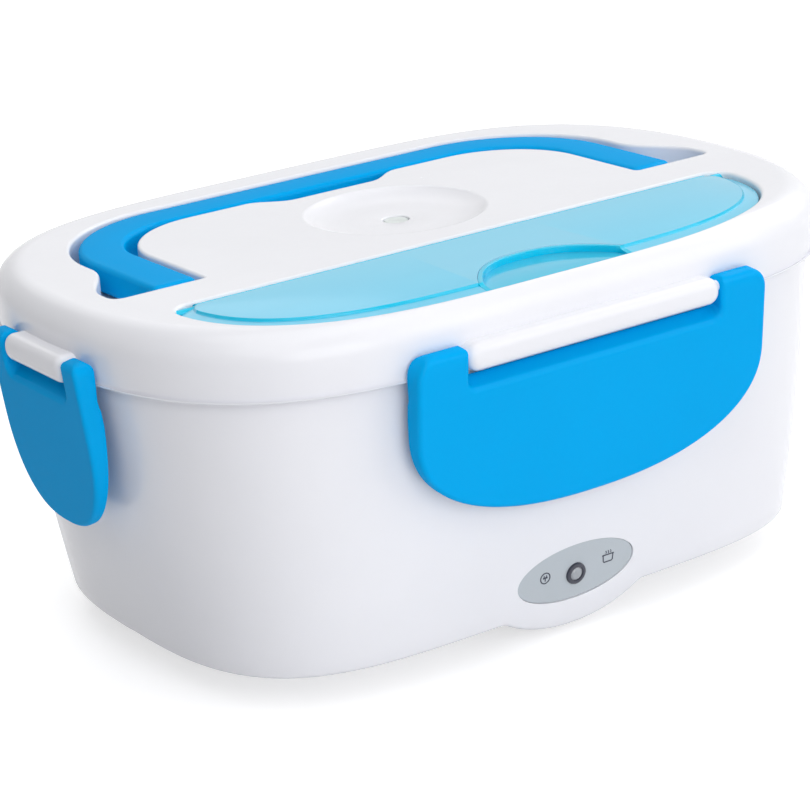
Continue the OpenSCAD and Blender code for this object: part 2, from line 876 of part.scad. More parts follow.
// The front view of the ear on +X, with its round outer corner
module ear_front_2d(half, ear, r) {
  low = 2 * window_drop;
  high = ear_r + ear_crest;
  translate([half - ear, -low]) square([ear - r, low + high]);
  translate([half - ear, -low]) square([ear, low + high - r]);
  translate([half - r, high - r]) circle(r, $fn = fine);
}

// The side view of the ledge below the window: it slopes up towards the back
module ledge_2d() {
  polygon([
    [-ear_r, -window_drop],
    stood(latch_rim_in, ledge_rise - window_drop),
    stood(latch_rim_in, -window_drop - latch_rim_t),
    [latch_t / 2 - ear_r, -window_drop - latch_rim_t]
  ]);
}

// A latch's plate, ledge and ears, before they lean in
module latch_plate(wid, ear, curve_h, curve_p, round) {
  half = wid / 2;
  upright(latch_t - ear_r, -ear_r) latch_2d(wid, curve_h, curve_p);
  translate([ear - half - 1, 0, 0]) rotate([90, 0, 90])
    linear_extrude(2 * (half - ear + 1)) ledge_2d();
  for (side = [0, 1]) mirror([side, 0, 0]) intersection() {
    translate([half - ear, 0, 0]) rotate([90, 0, 90]) linear_extrude(ear) ear_side_2d();
    upright(2 * ear_r, -2 * ear_r) ear_front_2d(half, ear, round);
  }
}

// The rim round a latch's plate, before it leans in
module latch_rim(wid, curve_h, curve_p) {
  upright(latch_rim_in, latch_t - ear_r - 0.5) difference() {
    latch_2d(wid, curve_h, curve_p);
    latch_2d(wid, curve_h, curve_p, latch_rim_t);
  }
}

module latch(wid, ear, curve_h, curve_p, catch_wid, round) {
  half = wid / 2;
  bore_h = ear - ear_cap;
  hook_z = -catch_drop - catch_t - 2 * hook_gap;
  hook_out = leaned(latch_t / 2 - ear_r, hook_z)[0];
  color(blue) difference() {
    union() {
      rotate([latch_lean, 0, 0]) latch_plate(wid, ear, curve_h, curve_p, round);
      intersection() {
        rotate([latch_lean, 0, 0]) latch_rim(wid, curve_h, curve_p);
        translate([-wid, -2 * ear_r, -2 * latch_drop])
          cube([2 * wid, hook_in + 2 * ear_r, 2 * latch_drop]);
      }
      translate([-catch_wid / 2 + 1, hook_out, hook_z - hook_t])
        cube([catch_wid - 2, hook_in - hook_out, hook_t]);
    }
    for (side = [-1, 1]) translate([side * (half - ear + (bore_h - fit_gap) / 2), 0, 0])
      bar_x(latch_pin / 2 + run_gap, bore_h + fit_gap);
  }
}

module long_latch() {
  latch(long_latch_wid, ear_wid, long_curve_h, long_curve_p, catch_long, ear_round);
}
module short_latch() {
  latch(
    short_latch_wid, short_ear_wid, short_curve_h, short_curve_p, catch_short, short_ear_round
  );
}
module latch_front() { translate([0, 0, pivot_z]) at_front() long_latch(); }
module latch_back() { translate([0, 0, pivot_z]) at_back() long_latch(); }
module latch_left() { translate([0, 0, pivot_z]) at_left() short_latch(); }
module latch_right() { translate([0, 0, pivot_z]) at_right() short_latch(); }

// ---- Body ----

// A rib that a latch's hook goes under, from the body's wall out
module catch_rib(wid, wall_half, lid_half) {
  out = hook_in + hook_gap;
  in = lid_half + latch_reach - wall_half + body_wall / 2;
  translate([-wid / 2, out, -catch_drop - catch_t]) cube([wid, in - out, catch_t]);
}

// A boss for a base screw, with webs to the wall
module base_boss() {
  cylinder(r = boss_r, h = boss_h, $fn = fine);
  translate([0, -boss_web / 2, 0]) cube([2 * boss_x, boss_web, boss_h]);
  translate([-boss_web / 2, 0, 0]) cube([boss_web, 2 * boss_y, boss_h]);
}

module tub() {
  skin([
    body_ring(edge_r, base_gap),
    body_ring(edge_r * 0.29, base_gap + edge_r * 0.29),
    for (s = [0, 0.2, 0.4, 0.6, 0.8, 1]) body_ring(0, mix(base_gap + edge_r, rim_z, s)),
    for (s = [1, 0.75, 0.5, 0.25, 0]) body_ring(body_wall, mix(base_gap, rim_z, s))
  ], loop = true);
}

module body_shell() {
  plate_top = base_gap + plate_rise + pan_t;
  catch_z = pivot_z - catch_drop;
  inner_y = body_b(inlet_z - pad_size[1] / 2) - body_wall;
  color(white) difference() {
    union() {
      tub();
      translate([0, 0, pivot_z]) {
        for (turn = [0, 180]) rotate([0, 0, turn]) {
          at_front() catch_rib(catch_long, body_b(catch_z), lid_b);
          at_left() catch_rib(catch_short, body_a(catch_z), lid_a);
        }
      }
      intersection() {
        skin([
          body_ring(body_wall / 2, plate_top),
          body_ring(body_wall / 2, plate_top + boss_h / 2),
          body_ring(body_wall / 2, plate_top + boss_h)
        ]);
        for (x = [0, 1], y = [0, 1]) mirror([x, 0, 0]) mirror([0, y, 0])
          translate([boss_x, boss_y, plate_top]) base_boss();
      }
      intersection() {
        on_front_wall(pod_z) translate([0, 0, -pod_depth]) linear_extrude(pod_depth)
          oval_2d(pod_a, pod_b);
        translate([-pod_a, -body_b(pod_z) - 10, 0])
          cube([2 * pod_a, pod_depth + 20, base_gap + plate_rise]);
      }
      translate([-pad_size[0] / 2, inner_y, inlet_z - pad_size[1] / 2])
        cube([pad_size[0], pad_y - inner_y, pad_size[1]]);
      on_front_wall(pod_z) for (side = [-1, 1])
        translate([side * post_x, 0, -body_wall - board_gap]) {
          cylinder(r = post_r, h = board_gap + body_wall / 2, $fn = fine / 2);
          translate([0, 0, -board_t - 0.8]) cylinder(r = peg_r, h = 3, $fn = fine / 2);
        }
    }
    // The pod is hollow, open to the space under the base plate
    intersection() {
      on_front_wall(pod_z) translate([0, 0, body_wall - pod_depth])
        linear_extrude(pod_depth - 2 * body_wall) oval_2d(pod_a - body_wall, pod_b - body_wall);
      translate([-pod_a, -body_b(base_gap) + body_wall, 0])
        cube([2 * pod_a, pod_depth, base_gap + plate_rise]);
    }
    on_front_wall(pod_z) {
      translate([0, 0, -label_sink]) linear_extrude(label_sink + 1)
        oval_2d(label_wid / 2 + touch, label_h / 2 + touch);
      translate([0, lamp_y, -body_wall - 2]) cylinder(r = bezel_tube_r + 0.1, h = 4, $fn = fine);
    }
    for (x = [-1, 1], y = [-1, 1]) translate([x * boss_x, y * boss_y, plate_top - 1])
      cylinder(r = screw_r + touch, h = boss_h - 2, $fn = fine / 2);
    translate([0, pad_y, inlet_z])
      cube([socket_size[0] + 2 * touch, 4 * pad_size[1], socket_size[1] + 2 * touch], center = true);
    for (side = [-1, 1]) translate([side * inlet_screw_x, pad_y, inlet_z])
      rotate([90, 0, 0]) cylinder(r = small_r + touch, h = 8, center = true, $fn = fine / 2);
  }
}

// The well that the food tray hangs in
module inner_well() {
  out = well_gap + well_t;
  heater_hole = [plate_len - 2 * heater_shelf, plate_wid - 2 * heater_shelf];
  mid_z = tray_z + tray_round;
  color(white) difference() {
    skin([
      pan_ring(tray_a - tray_draft + out - tray_round, tray_b - tray_draft + out - tray_round, well_z),
      pan_ring(tray_a - tray_draft + out, tray_b - tray_draft + out, mid_z),
      pan_ring(tray_a + out, tray_b + out, rim_z - 2),
      pan_ring(tray_a + out, tray_b + out, rim_z),
      pan_ring(rim_a - fit_gap, rim_b - fit_gap, rim_z),
      pan_ring(rim_a - fit_gap, rim_b - fit_gap, tray_seat_z),
      pan_ring(tray_a + well_gap, tray_b + well_gap, tray_seat_z),
      pan_ring(tray_a + well_gap, tray_b + well_gap, rim_z - 2),
      pan_ring(tray_a - tray_draft + well_gap, tray_b - tray_draft + well_gap, mid_z),
      pan_ring(
        tray_a - tray_draft + well_gap - tray_round, tray_b - tray_draft + well_gap - tray_round,
        heater_z
      )
    ]);
    translate([0, 0, well_z - 1]) linear_extrude(well_floor_t + 2)
      round_rect_2d(heater_hole, heater_r - 2);
    for (p = bolt_points) translate([p[0], p[1], well_z - 1])
      cylinder(r = bolt_r + 0.1, h = well_floor_t + 2, $fn = fine / 2);
  }
}

// ---- Containers ----

module food_tray() {
  color(steel) skin([
    pan_ring(tray_a - tray_draft - tray_round, tray_b - tray_draft - tray_round, tray_z),
    pan_ring(
      tray_a - tray_draft - 0.3 * tray_round, tray_b - tray_draft - 0.3 * tray_round,
      tray_z + 0.3 * tray_round
    ),
    pan_ring(tray_a - tray_draft + 0.3, tray_b - tray_draft + 0.3, tray_z + tray_round),
    pan_ring(tray_a, tray_b, tray_seat_z),
    pan_ring(tray_a + tray_lip, tray_b + tray_lip, tray_seat_z),
    pan_ring(tray_a + tray_lip, tray_b + tray_lip, tray_top_z),
    pan_ring(tray_a - tray_wall, tray_b - tray_wall, tray_top_z),
    pan_ring(
      tray_a - tray_draft - tray_wall + 0.3, tray_b - tray_draft - tray_wall + 0.3,
      tray_z + tray_round + tray_wall
    ),
    pan_ring(
      tray_a - tray_draft - tray_wall - tray_round, tray_b - tray_draft - tray_wall - tray_round,
      tray_z + tray_wall
    )
  ]);
}

function box_ring(inset, z) = [
  for (p = oval(
    dish_box_len / 2 - inset, dish_box_wid / 2 - inset, dish_box_p, dish_box_p, z, 40
  )) [p[0] + dish_box_x, p[1], p[2]]
];

module side_dish_box() {
  top = dish_box_z + dish_box_h;
  color(white) skin([
    box_ring(dish_box_draft + 2.5, dish_box_z),
    box_ring(dish_box_draft, dish_box_z + 2.5),
    box_ring(dish_box_lip, top - 2.5),
    box_ring(0, top - 2.5),
    box_ring(0, top),
    box_ring(dish_box_lip + dish_box_t, top),
    box_ring(dish_box_draft + dish_box_t, dish_box_z + 2.5 + dish_box_t),
    box_ring(dish_box_draft + dish_box_t + 2.5, dish_box_z + dish_box_t)
  ]);
}

module side_dish_lid() {
  top = dish_box_z + dish_box_h;
  plug = dish_box_lip + dish_box_t + 0.5;
  color(clear_blue, 0.6) skin([
    box_ring(plug + 1.4, top - dish_lid_skirt / 2),
    box_ring(plug, top - dish_lid_skirt / 2),
    box_ring(plug - 0.4, top),
    box_ring(0, top),
    box_ring(0.4, top + dish_lid_t),
    box_ring(plug + 2.4, top + dish_lid_t),
    box_ring(plug + 3, top)
  ]);
}

// ---- Heater ----

module heating_plate() {
  color(steel) difference() {
    translate([0, 0, heater_z]) linear_extrude(plate_t)
      round_rect_2d([plate_len, plate_wid], heater_r);
    for (p = bolt_points) translate([p[0], p[1], heater_z - 1])
      cylinder(r = bolt_r + touch, h = plate_t, $fn = fine / 2);
    for (p = concat(strap_points, thermostat_points)) translate([p[0], p[1], heater_z - 1])
      cylinder(r = small_r + touch, h = plate_t, $fn = fine / 2);
  }
}

// A screw pointing up, its head's top face at z = 0
module screw(r, len) {
  translate([0, 0, -head_h]) cylinder(r = 2 * r, h = head_h, $fn = fine / 2);
  translate([0, 0, -head_h / 2]) cylinder(r = r, h = len + head_h / 2, $fn = fine / 2);
}

module plate_screws() {
  color(steel) for (p = bolt_points) translate([p[0], p[1], well_z])
    screw(bolt_r, well_floor_t + plate_t - 1.3);
}

module heating_element() {
  color(steel) translate([element_x, 0, heater_z - element_t / 2]) union() {
    cube([element_len, element_wid, element_t], center = true);
    for (side = [-1, 1]) translate([element_len / 2 + 2, side * 6, 0])
      cube([6, 4, 0.8], center = true);
  }
}

// The strap that holds the element up against the plate
module element_strap() {
  half = element_wid / 2 + touch;
  color(steel) difference() {
    translate([element_x, 0, heater_z]) rotate([90, 0, 90]) translate([0, 0, -strap_wid / 2])
      linear_extrude(strap_wid) polygon([
        [-half - strap_over, 0],
        [-half - strap_over, -strap_t],
        [-half - strap_t, -strap_t],
        [-half - strap_t, -element_t - strap_t],
        [half + strap_t, -element_t - strap_t],
        [half + strap_t, -strap_t],
        [half + strap_over, -strap_t],
        [half + strap_over, 0],
        [half, 0],
        [half, -element_t],
        [-half, -element_t],
        [-half, 0]
      ]);
    for (p = strap_points) translate([p[0], p[1], heater_z - strap_t - 1])
      cylinder(r = small_r + 0.1, h = strap_t + 2, $fn = fine / 2);
  }
}

module strap_screws() {
  color(steel) for (p = strap_points) translate([p[0], p[1], heater_z - strap_t])
    screw(small_r, strap_t + plate_t - 1.3);
}

module thermostat() {
  ear = thermostat_bolt + 3;
  color(dark) difference() {
    translate([thermostat_x, 0, heater_z]) {
      translate([0, 0, -thermostat_h]) cylinder(r = thermostat_r, h = thermostat_h, $fn = fine);
      translate([0, 0, -0.4]) cube([7, 2 * ear, 0.8], center = true);
      for (side = [-1, 1]) translate([side * 4, 0, -thermostat_h - 2])
        cube([1, 5, 4.4], center = true);
    }
    for (p = thermostat_points) translate([p[0], p[1], heater_z - 2])
      cylinder(r = small_r + 0.1, h = 3, $fn = fine / 2);
  }
}

module thermostat_screws() {
  color(steel) for (p = thermostat_points) translate([p[0], p[1], heater_z - 0.8])
    screw(small_r, 0.8 + plate_t - 1.3);
}

// A small fuse in its clip below the plate
module thermal_fuse() {
  color(white) translate([fuse_pos[0], fuse_pos[1], heater_z - fuse_r]) union() {
    bar_x(fuse_r, fuse_len);
    bar_x(0.6, fuse_len + 8);
    translate([-fuse_len / 4, -1, 0]) cube([fuse_len / 2, 2, fuse_r]);
  }
}

// ---- Supply inlet ----

module supply_inlet() {
  out_y = pad_y + flange_t;
  color(dark) difference() {
    union() {
      translate([0, out_y, inlet_z]) rotate([90, 0, 0]) linear_extrude(flange_t)
        round_rect_2d(flange_size, 4);
      translate([0, out_y - (socket_depth + flange_t) / 2, inlet_z])
        cube([socket_size[0], socket_depth + flange_t, socket_size[1]], center = true);
    }
    for (side = [-1, 1]) {
      translate([side * pin_pitch / 2, out_y + 1, inlet_z]) rotate([90, 0, 0])
        cylinder(r = recess_r, h = recess_depth + 1, $fn = fine);
      translate([side * pin_pitch / 2, out_y, inlet_z]) rotate([90, 0, 0])
        cylinder(r = pin_shank_r + touch / 2, h = 2 * socket_depth, $fn = fine);
      translate([side * inlet_screw_x, out_y + 1, inlet_z]) rotate([90, 0, 0])
        cylinder(r = small_r + 0.1, h = flange_t + 2, $fn = fine / 2);
    }
    translate([0, out_y + 1 - (recess_depth + 1) / 2, inlet_z])
      cube([pin_pitch, recess_depth + 1, recess_web], center = true);
  }
}

// Each pin has a thicker shank where it is held and a thinner tail for its wire
module inlet_pins() {
  held = socket_depth + flange_t - recess_depth;
  color(steel) for (side = [-1, 1])
    translate([side * pin_pitch / 2, pad_y + flange_t - recess_depth, inlet_z])
      rotate([90, 0, 0]) union() {
        translate([0, 0, -pin_len]) cylinder(r = pin_d / 2, h = pin_len, $fn = fine);
        cylinder(r = pin_shank_r, h = held, $fn = fine);
        translate([0, 0, held]) cylinder(r = pin_tail_r, h = pin_tail, $fn = fine);
      }
}

module inlet_screws() {
  color(steel) for (side = [-1, 1])
    translate([side * inlet_screw_x, pad_y + flange_t, inlet_z]) rotate([90, 0, 0])
      screw(small_r, flange_t + 4);
}

// ---- Wires ----

tail_y = pad_y - socket_depth - pin_tail;
therm_z = heater_z - thermostat_h - 4.2;

module live_wire() {
  x = -pin_pitch / 2;
  tx = thermostat_x + 4;
  color(dark) tube([
    [x, tail_y - touch, inlet_z], [x, tail_y - 2, inlet_z], [x, tail_y - 4, inlet_z],
    [x - 8, tail_y - 14, inlet_z - 5], [tx + 4, 14, wire_low_z],
    [tx, 3, wire_low_z + 1], [tx, 0, therm_z - 4], [tx, 0, therm_z - 2],
    [tx, 0, therm_z - touch]
  ], wire_r);
}

module neutral_wire() {
  x = pin_pitch / 2;
  ex = element_x + element_len / 2 + 5 + touch;
  ez = heater_z - element_t / 2;
  color(steel) tube([
    [x, tail_y - touch, inlet_z], [x, tail_y - 2, inlet_z], [x, tail_y - 4, inlet_z],
    [x + 9, tail_y - 16, inlet_z - 3], [ex + 8, 16, ez - 5], [ex + 7, 8, ez - 1],
    [ex + 4, 6, ez], [ex + 2, 6, ez], [ex, 6, ez]
  ], wire_r);
}

module fuse_wire() {
  tx = thermostat_x - 4;
  fx = fuse_pos[0] - fuse_len / 2 - 4 - touch;
  fz = heater_z - fuse_r;
  color(dark) tube([
    [tx, 0, therm_z - touch], [tx, 0, therm_z - 2], [tx, 0, therm_z - 4],
    [tx - 3, 6, therm_z - 7], [tx - 6, 16, therm_z - 2], [fx - 10, fuse_pos[1] + 1, fz - 3],
    [fx - 4, fuse_pos[1], fz], [fx - 2, fuse_pos[1], fz], [fx, fuse_pos[1], fz]
  ], wire_r);
}

module element_wire() {
  fx = fuse_pos[0] + fuse_len / 2 + 4 + touch;
  fz = heater_z - fuse_r;
  ex = element_x + element_len / 2 + 5 + touch;
  ez = heater_z - element_t / 2;
  color(dark) tube([
    [fx, fuse_pos[1], fz], [fx + 2, fuse_pos[1], fz], [fx + 4, fuse_pos[1], fz],
    [fx + 6, fuse_pos[1] - 2, fz - 1.5], [fx + 14, -fuse_pos[1] * 0.2, wire_low_z + 3], [element_x, -10, wire_low_z + 2],
    [ex + 4, -14, ez - 8], [ex + 9, -9, ez - 1], [ex + 4, -6, ez], [ex + 2, -6, ez],
    [ex, -6, ez]
  ], wire_r);
}

// ---- Lamp panel ----

module label_plate() {
  color([0.69, 0.72, 0.75]) on_front_wall(pod_z) difference() {
    translate([0, 0, -label_sink]) linear_extrude(label_t) oval_2d(label_wid / 2, label_h / 2);
    translate([0, lamp_y, -label_sink - 1]) cylinder(r = bezel_tube_r + 0.1, h = 3, $fn = fine);
  }
}

module lamp_bezel() {
  seat = label_t - label_sink;
  color([0.8, 0.82, 0.85]) on_front_wall(pod_z) translate([0, lamp_y, 0]) difference() {
    union() {
      translate([0, 0, seat]) cylinder(r = bezel_d / 2, h = bezel_t, $fn = fine);
      translate([0, 0, -body_wall - bezel_tube])
        cylinder(r = bezel_tube_r, h = body_wall + bezel_tube + seat + 0.1, $fn = fine);
    }
    translate([0, 0, -body_wall - bezel_tube - 1])
      cylinder(r = lens_d / 2 + touch, h = body_wall + bezel_tube + 4, $fn = fine);
  }
}

module lamp_lens() {
  top = label_t - label_sink + bezel_t;
  color([0.9, 0.3, 0.25]) on_front_wall(pod_z) translate([0, lamp_y, 0]) rotate_extrude($fn = fine)
    polygon([
      [0, -body_wall - bezel_tube + 0.6],
      [lens_d / 2, -body_wall - bezel_tube + 0.6],
      [lens_d / 2, top - 0.4],
      [lens_d / 2 * 0.7, top],
      [0, top + 0.15]
    ]);
}

module lamp_led() {
  base = -body_wall - board_gap;
  tip = -body_wall - bezel_tube + 0.3;
  color([0.9, 0.9, 0.85]) on_front_wall(pod_z) translate([0, lamp_y, 0]) {
    translate([0, 0, base]) cylinder(r = led_r + 0.3, h = 0.8, $fn = fine / 2);
    translate([0, 0, base]) cylinder(r = led_r, h = tip - base, $fn = fine / 2);
  }
}

module lamp_board() {
  color([0.1, 0.45, 0.25]) on_front_wall(pod_z)
    translate([0, 0, -body_wall - board_gap - board_t]) difference() {
      linear_extrude(board_t) square(board_size, center = true);
      for (side = [-1, 1]) translate([side * post_x, 0, -1])
        cylinder(r = peg_r + 0.1, h = board_t + 2, $fn = fine / 2);
    }
}

// ---- Base plate and feet ----

module base_plate() {
  under = base_gap + plate_rise;
  edge = body_wall + fit_gap;
  color(white) difference() {
    skin([
      base_ring(pan_in + 3, pan_z),
      base_ring(pan_in, under),
      base_ring(edge, under),
      base_ring(edge, under + pan_t),
      base_ring(pan_in + pan_t, under + pan_t),
      base_ring(pan_in + pan_t + 3, floor_z)
    ]);
    for (x = [-1, 1], y = [-1, 1]) {
      translate([x * boss_x, y * boss_y, under - 1])
        cylinder(r = screw_r + 0.1, h = pan_t + 2, $fn = fine / 2);
      translate([x * foot_x, y * foot_y, pan_z - 1])
        cylinder(r = foot_r + touch, h = foot_seat + 1, $fn = fine);
    }
  }
}

module base_screws() {
  color(steel) for (x = [-1, 1], y = [-1, 1])
    translate([x * boss_x, y * boss_y, base_gap + plate_rise]) screw(screw_r, pan_t + boss_h - 6);
}

module foot(x, y) {
  color(dark) translate([x * foot_x, y * foot_y, 0]) rotate_extrude($fn = fine) polygon([
    [0, 0],
    [foot_r - 1.2, 0],
    [foot_r - 0.4, 0.6],
    [foot_r, 1.6],
    [foot_r, pan_z + foot_seat],
    [0, pan_z + foot_seat]
  ]);
}
module foot_front_left() { foot(-1, -1); }
module foot_front_right() { foot(1, -1); }
module foot_back_left() { foot(-1, 1); }
module foot_back_right() { foot(1, 1); }

lid_shell();
lid_liner();
lid_seal();
vent_plug();
spoon_cover();
spoon();
handle();
latch_front();
latch_back();
latch_left();
latch_right();
body_shell();
inner_well();
food_tray();
side_dish_box();
side_dish_lid();
heating_plate();
plate_screws();
heating_element();
element_strap();
strap_screws();
thermostat();
thermostat_screws();
thermal_fuse();
supply_inlet();
inlet_pins();
inlet_screws();
live_wire();
neutral_wire();
fuse_wire();
element_wire();
label_plate();
lamp_bezel();
lamp_lens();
lamp_led();
lamp_board();
base_plate();
base_screws();
foot_front_left();
foot_front_right();
foot_back_left();
foot_back_right();
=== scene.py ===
"""An electric lunch box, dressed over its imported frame.

Sizes in the classes are millimetres in the frame's own axes, and become metres
when a mesh is made.
"""

import logging
import math
from dataclasses import dataclass
from enum import Enum
from typing import Any, Callable, Sequence, Union

import bmesh
import bpy
import numpy as np
from mathutils import Matrix, Vector
from mathutils.geometry import delaunay_2d_cdt


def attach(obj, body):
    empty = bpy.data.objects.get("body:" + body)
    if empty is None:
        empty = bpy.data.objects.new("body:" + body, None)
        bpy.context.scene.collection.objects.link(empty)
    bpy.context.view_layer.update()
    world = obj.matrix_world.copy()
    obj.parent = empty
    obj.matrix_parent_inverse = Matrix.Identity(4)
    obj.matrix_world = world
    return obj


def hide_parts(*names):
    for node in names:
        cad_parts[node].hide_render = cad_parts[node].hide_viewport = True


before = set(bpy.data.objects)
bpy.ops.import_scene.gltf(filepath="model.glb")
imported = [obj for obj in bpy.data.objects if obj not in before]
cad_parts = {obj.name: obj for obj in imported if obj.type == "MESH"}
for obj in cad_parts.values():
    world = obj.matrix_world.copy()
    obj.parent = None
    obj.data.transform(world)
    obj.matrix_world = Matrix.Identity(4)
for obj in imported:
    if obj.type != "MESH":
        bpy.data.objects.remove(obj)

log = logging.getLogger("lunch_box")

Pair = tuple[float, float]
Triple = tuple[float, float, float]
Colour = Triple
Path = np.ndarray
Number = Union[float, "Signal"]

MILLIMETRE = 0.001

# The most that a round corner turns at one point, and the least that counts as a corner
CORNER_TURN = math.radians(12)
LEAST_TURN = 0.01

# The least area and radius that are kept, and the distance at which points are one
LEAST_AREA = 1e-4
LEAST_RADIUS = 0.01
JOINED = 1e-6
JOINED_METRES = 1e-7

# Edges that turn more than this many degrees stay crisp
SHARP = 38.0
CUT_SHARP = 30.0
BLUE_SHARP = 32.0
SPOON_SHARP = 50.0


# ---- Shader graphs ----


class Signal:
    """One output of a shader graph, used in expressions like a number."""

    def __init__(self, graph: "Graph", socket: bpy.types.NodeSocket | None) -> None:
        """Wrap a socket.

        Args:
            graph: the graph that the socket belongs to.
            socket: the output to wrap, or None for an end node, which has none.
        """
        self.graph = graph
        self.socket = socket

    def _maths(self, operation: str, first: Number, second: Number) -> "Signal":
        """Add a Math node.

        Args:
            operation: the node's operation.
            first: its first value.
            second: its second value.

        Returns:
            The node's output.
        """
        return self.graph.node("ShaderNodeMath", {"operation": operation}, {0: first, 1: second})

    def __add__(self, other: Number) -> "Signal":
        """Return self + other."""
        return self._maths("ADD", self, other)

    def __radd__(self, other: Number) -> "Signal":
        """Return other + self."""
        return self._maths("ADD", other, self)

    def __sub__(self, other: Number) -> "Signal":
        """Return self - other."""
        return self._maths("SUBTRACT", self, other)

    def __rsub__(self, other: Number) -> "Signal":
        """Return other - self."""
        return self._maths("SUBTRACT", other, self)

    def __mul__(self, other: Number) -> "Signal":
        """Return self * other."""
        return self._maths("MULTIPLY", self, other)

    def __rmul__(self, other: Number) -> "Signal":
        """Return other * self."""
        return self._maths("MULTIPLY", other, self)


class Graph:
    """The node graph of one material or world."""

    # The Mix node's own numbers for its factor, its two colours and its colour output
    MIX_SHARE, MIX_FIRST, MIX_SECOND, MIX_COLOUR = 0, 6, 7, 2

    def __init__(self, tree: bpy.types.NodeTree) -> None:
        """Empty the tree and keep it.

        Args:
            tree: the node tree to build in.
        """
        self.tree = tree
        tree.nodes.clear()

    def node(
        self,
        kind: str,
        settings: dict[str, Any] | None = None,
        inputs: dict[Any, Any] | None = None,
        output: int | str = 0,
    ) -> Signal:
        """Add a node.

        Args:
            kind: the node's type.
            settings: the node's attributes, which are set first.
            inputs: values or signals by socket name or number.
            output: the output to return.

        Returns:
            The chosen output.
        """
        made = self.tree.nodes.new(kind)
        for key, value in (settings or {}).items():
            setattr(made, key, value)
        for key, value in (inputs or {}).items():
            socket = made.inputs[key]
            if isinstance(value, Signal):
                self.tree.links.new(value.socket, socket)
            else:
                socket.default_value = value
        return Signal(self, made.outputs[output] if made.outputs else None)

    def rays(self) -> Signal:
        """Return 1 where the camera, a mirror or a clear surface looks, and 0 for light.

        Returns:
            The mask.
        """
        kinds = ("Is Camera Ray", "Is Glossy Ray", "Is Transmission Ray")
        first, second, third = (self.node("ShaderNodeLightPath", output=kind) for kind in kinds)
        return self.node("ShaderNodeClamp", {}, {"Value": first + second + third})

    def place(self) -> Signal:
        """Return the point in the piece's own coordinates, in metres."""
        return self.node("ShaderNodeTexCoord", output="Object")

    def noise(self, scale: float, detail: float = 2.0, stretch: Triple = (1.0, 1.0, 1.0)) -> Signal:
        """Add a noise texture.

        Args:
            scale: features per metre.
            detail: octaves.
            stretch: how much the texture is squeezed along each axis.

        Returns:
            A value from 0 to 1.
        """
        where = self.node(
            "ShaderNodeMapping",
            {"vector_type": "POINT"},
            {"Vector": self.place(), "Scale": stretch},
        )
        return self.node(
            "ShaderNodeTexNoise", {}, {"Vector": where, "Scale": scale, "Detail": detail}
        )

    def blend(self, share: Number, first: Any, second: Any) -> Signal:
        """Mix two colours.

        Args:
            share: how much of the second colour.
            first: a colour or signal.
            second: a colour or signal.

        Returns:
            The mixed colour.
        """
        first, second = (c if isinstance(c, Signal) else (*c, 1.0) for c in (first, second))
        sockets = {self.MIX_SHARE: share, self.MIX_FIRST: first, self.MIX_SECOND: second}
        return self.node("ShaderNodeMix", {"data_type": "RGBA"}, sockets, output=self.MIX_COLOUR)

    def bump(self, height: Signal, depth: float) -> Signal:
        """Turn a height into a normal.

        Args:
            height: the height, from 0 to 1.
            depth: what a height of 1 is worth, in metres.

        Returns:
            The bumped normal.
        """
        inputs = {"Strength": 1.0, "Distance": depth, "Height": height}
        return self.node("ShaderNodeBump", {}, inputs)

    def surface(self, inputs: dict[str, Any]) -> Signal:
        """Add the main shader.

        Args:
            inputs: values or signals by socket name.

        Returns:
            The shader.
        """
        return self.node("ShaderNodeBsdfPrincipled", {}, inputs)

    def finish(self, shader: Signal) -> None:
        """Lead a shader to the material's output."""
        self.node("ShaderNodeOutputMaterial", {}, {"Surface": shader})


# ---- Finishes ----


@dataclass(frozen=True)
class Finish:
    """A finish that makes its material once."""

    name: str
    colour: Colour

    def graph_into(self, graph: Graph) -> None:
        """Build the finish's nodes."""
        raise NotImplementedError

    def material(self) -> bpy.types.Material:
        """Return the finish's material, and make it the first time.

        Returns:
            The material.
        """
        found = bpy.data.materials.get(self.name)
        if found:
            return found
        made = bpy.data.materials.new(self.name)
        made.use_nodes = True
        self.graph_into(Graph(made.node_tree))
        return made


def shade(colour: Colour, factor: float) -> Colour:
    """Return a colour made lighter or darker by a factor."""
    return tuple(min(1.0, c * factor) for c in colour)


@dataclass(frozen=True)
class Moulded(Finish):
    """Glossy injection-moulded plastic with a faint ripple and rubbed patches."""

    roughness: float = 0.24
    coat: float = 0.3
    coat_roughness: float = 0.12
    ripple: float = 0.000012
    fleck: float = 0.03
    rub: float = 0.1
    grit: float = 0.05
    scatter: float = 0.0
    scatter_reach: Triple = (0.004, 0.004, 0.004)
    shine: float = 0.5

    def graph_into(self, graph: Graph) -> None:
        """Build the plastic's nodes.

        Args:
            graph: the graph to build in.
        """
        cloud = graph.noise(24.0, detail=3.0)
        fine = graph.noise(900.0, detail=2.0)
        peel = graph.noise(260.0, detail=1.0)
        rubbed = graph.noise(60.0, detail=4.0)
        colour = graph.blend(
            cloud, shade(self.colour, 1 - self.fleck), shade(self.colour, 1 + self.fleck)
        )
        rough = self.roughness + (rubbed - 0.5) * self.rub + (fine - 0.5) * self.grit
        graph.finish(graph.surface({
            "Base Color": colour,
            "Roughness": rough,
            "Specular IOR Level": self.shine,
            "Coat Weight": self.coat,
            "Coat Roughness": self.coat_roughness,
            "Subsurface Weight": self.scatter,
            "Subsurface Radius": self.scatter_reach,
            "Normal": graph.bump(peel * 0.8 + fine * 0.2, self.ripple),
        }))


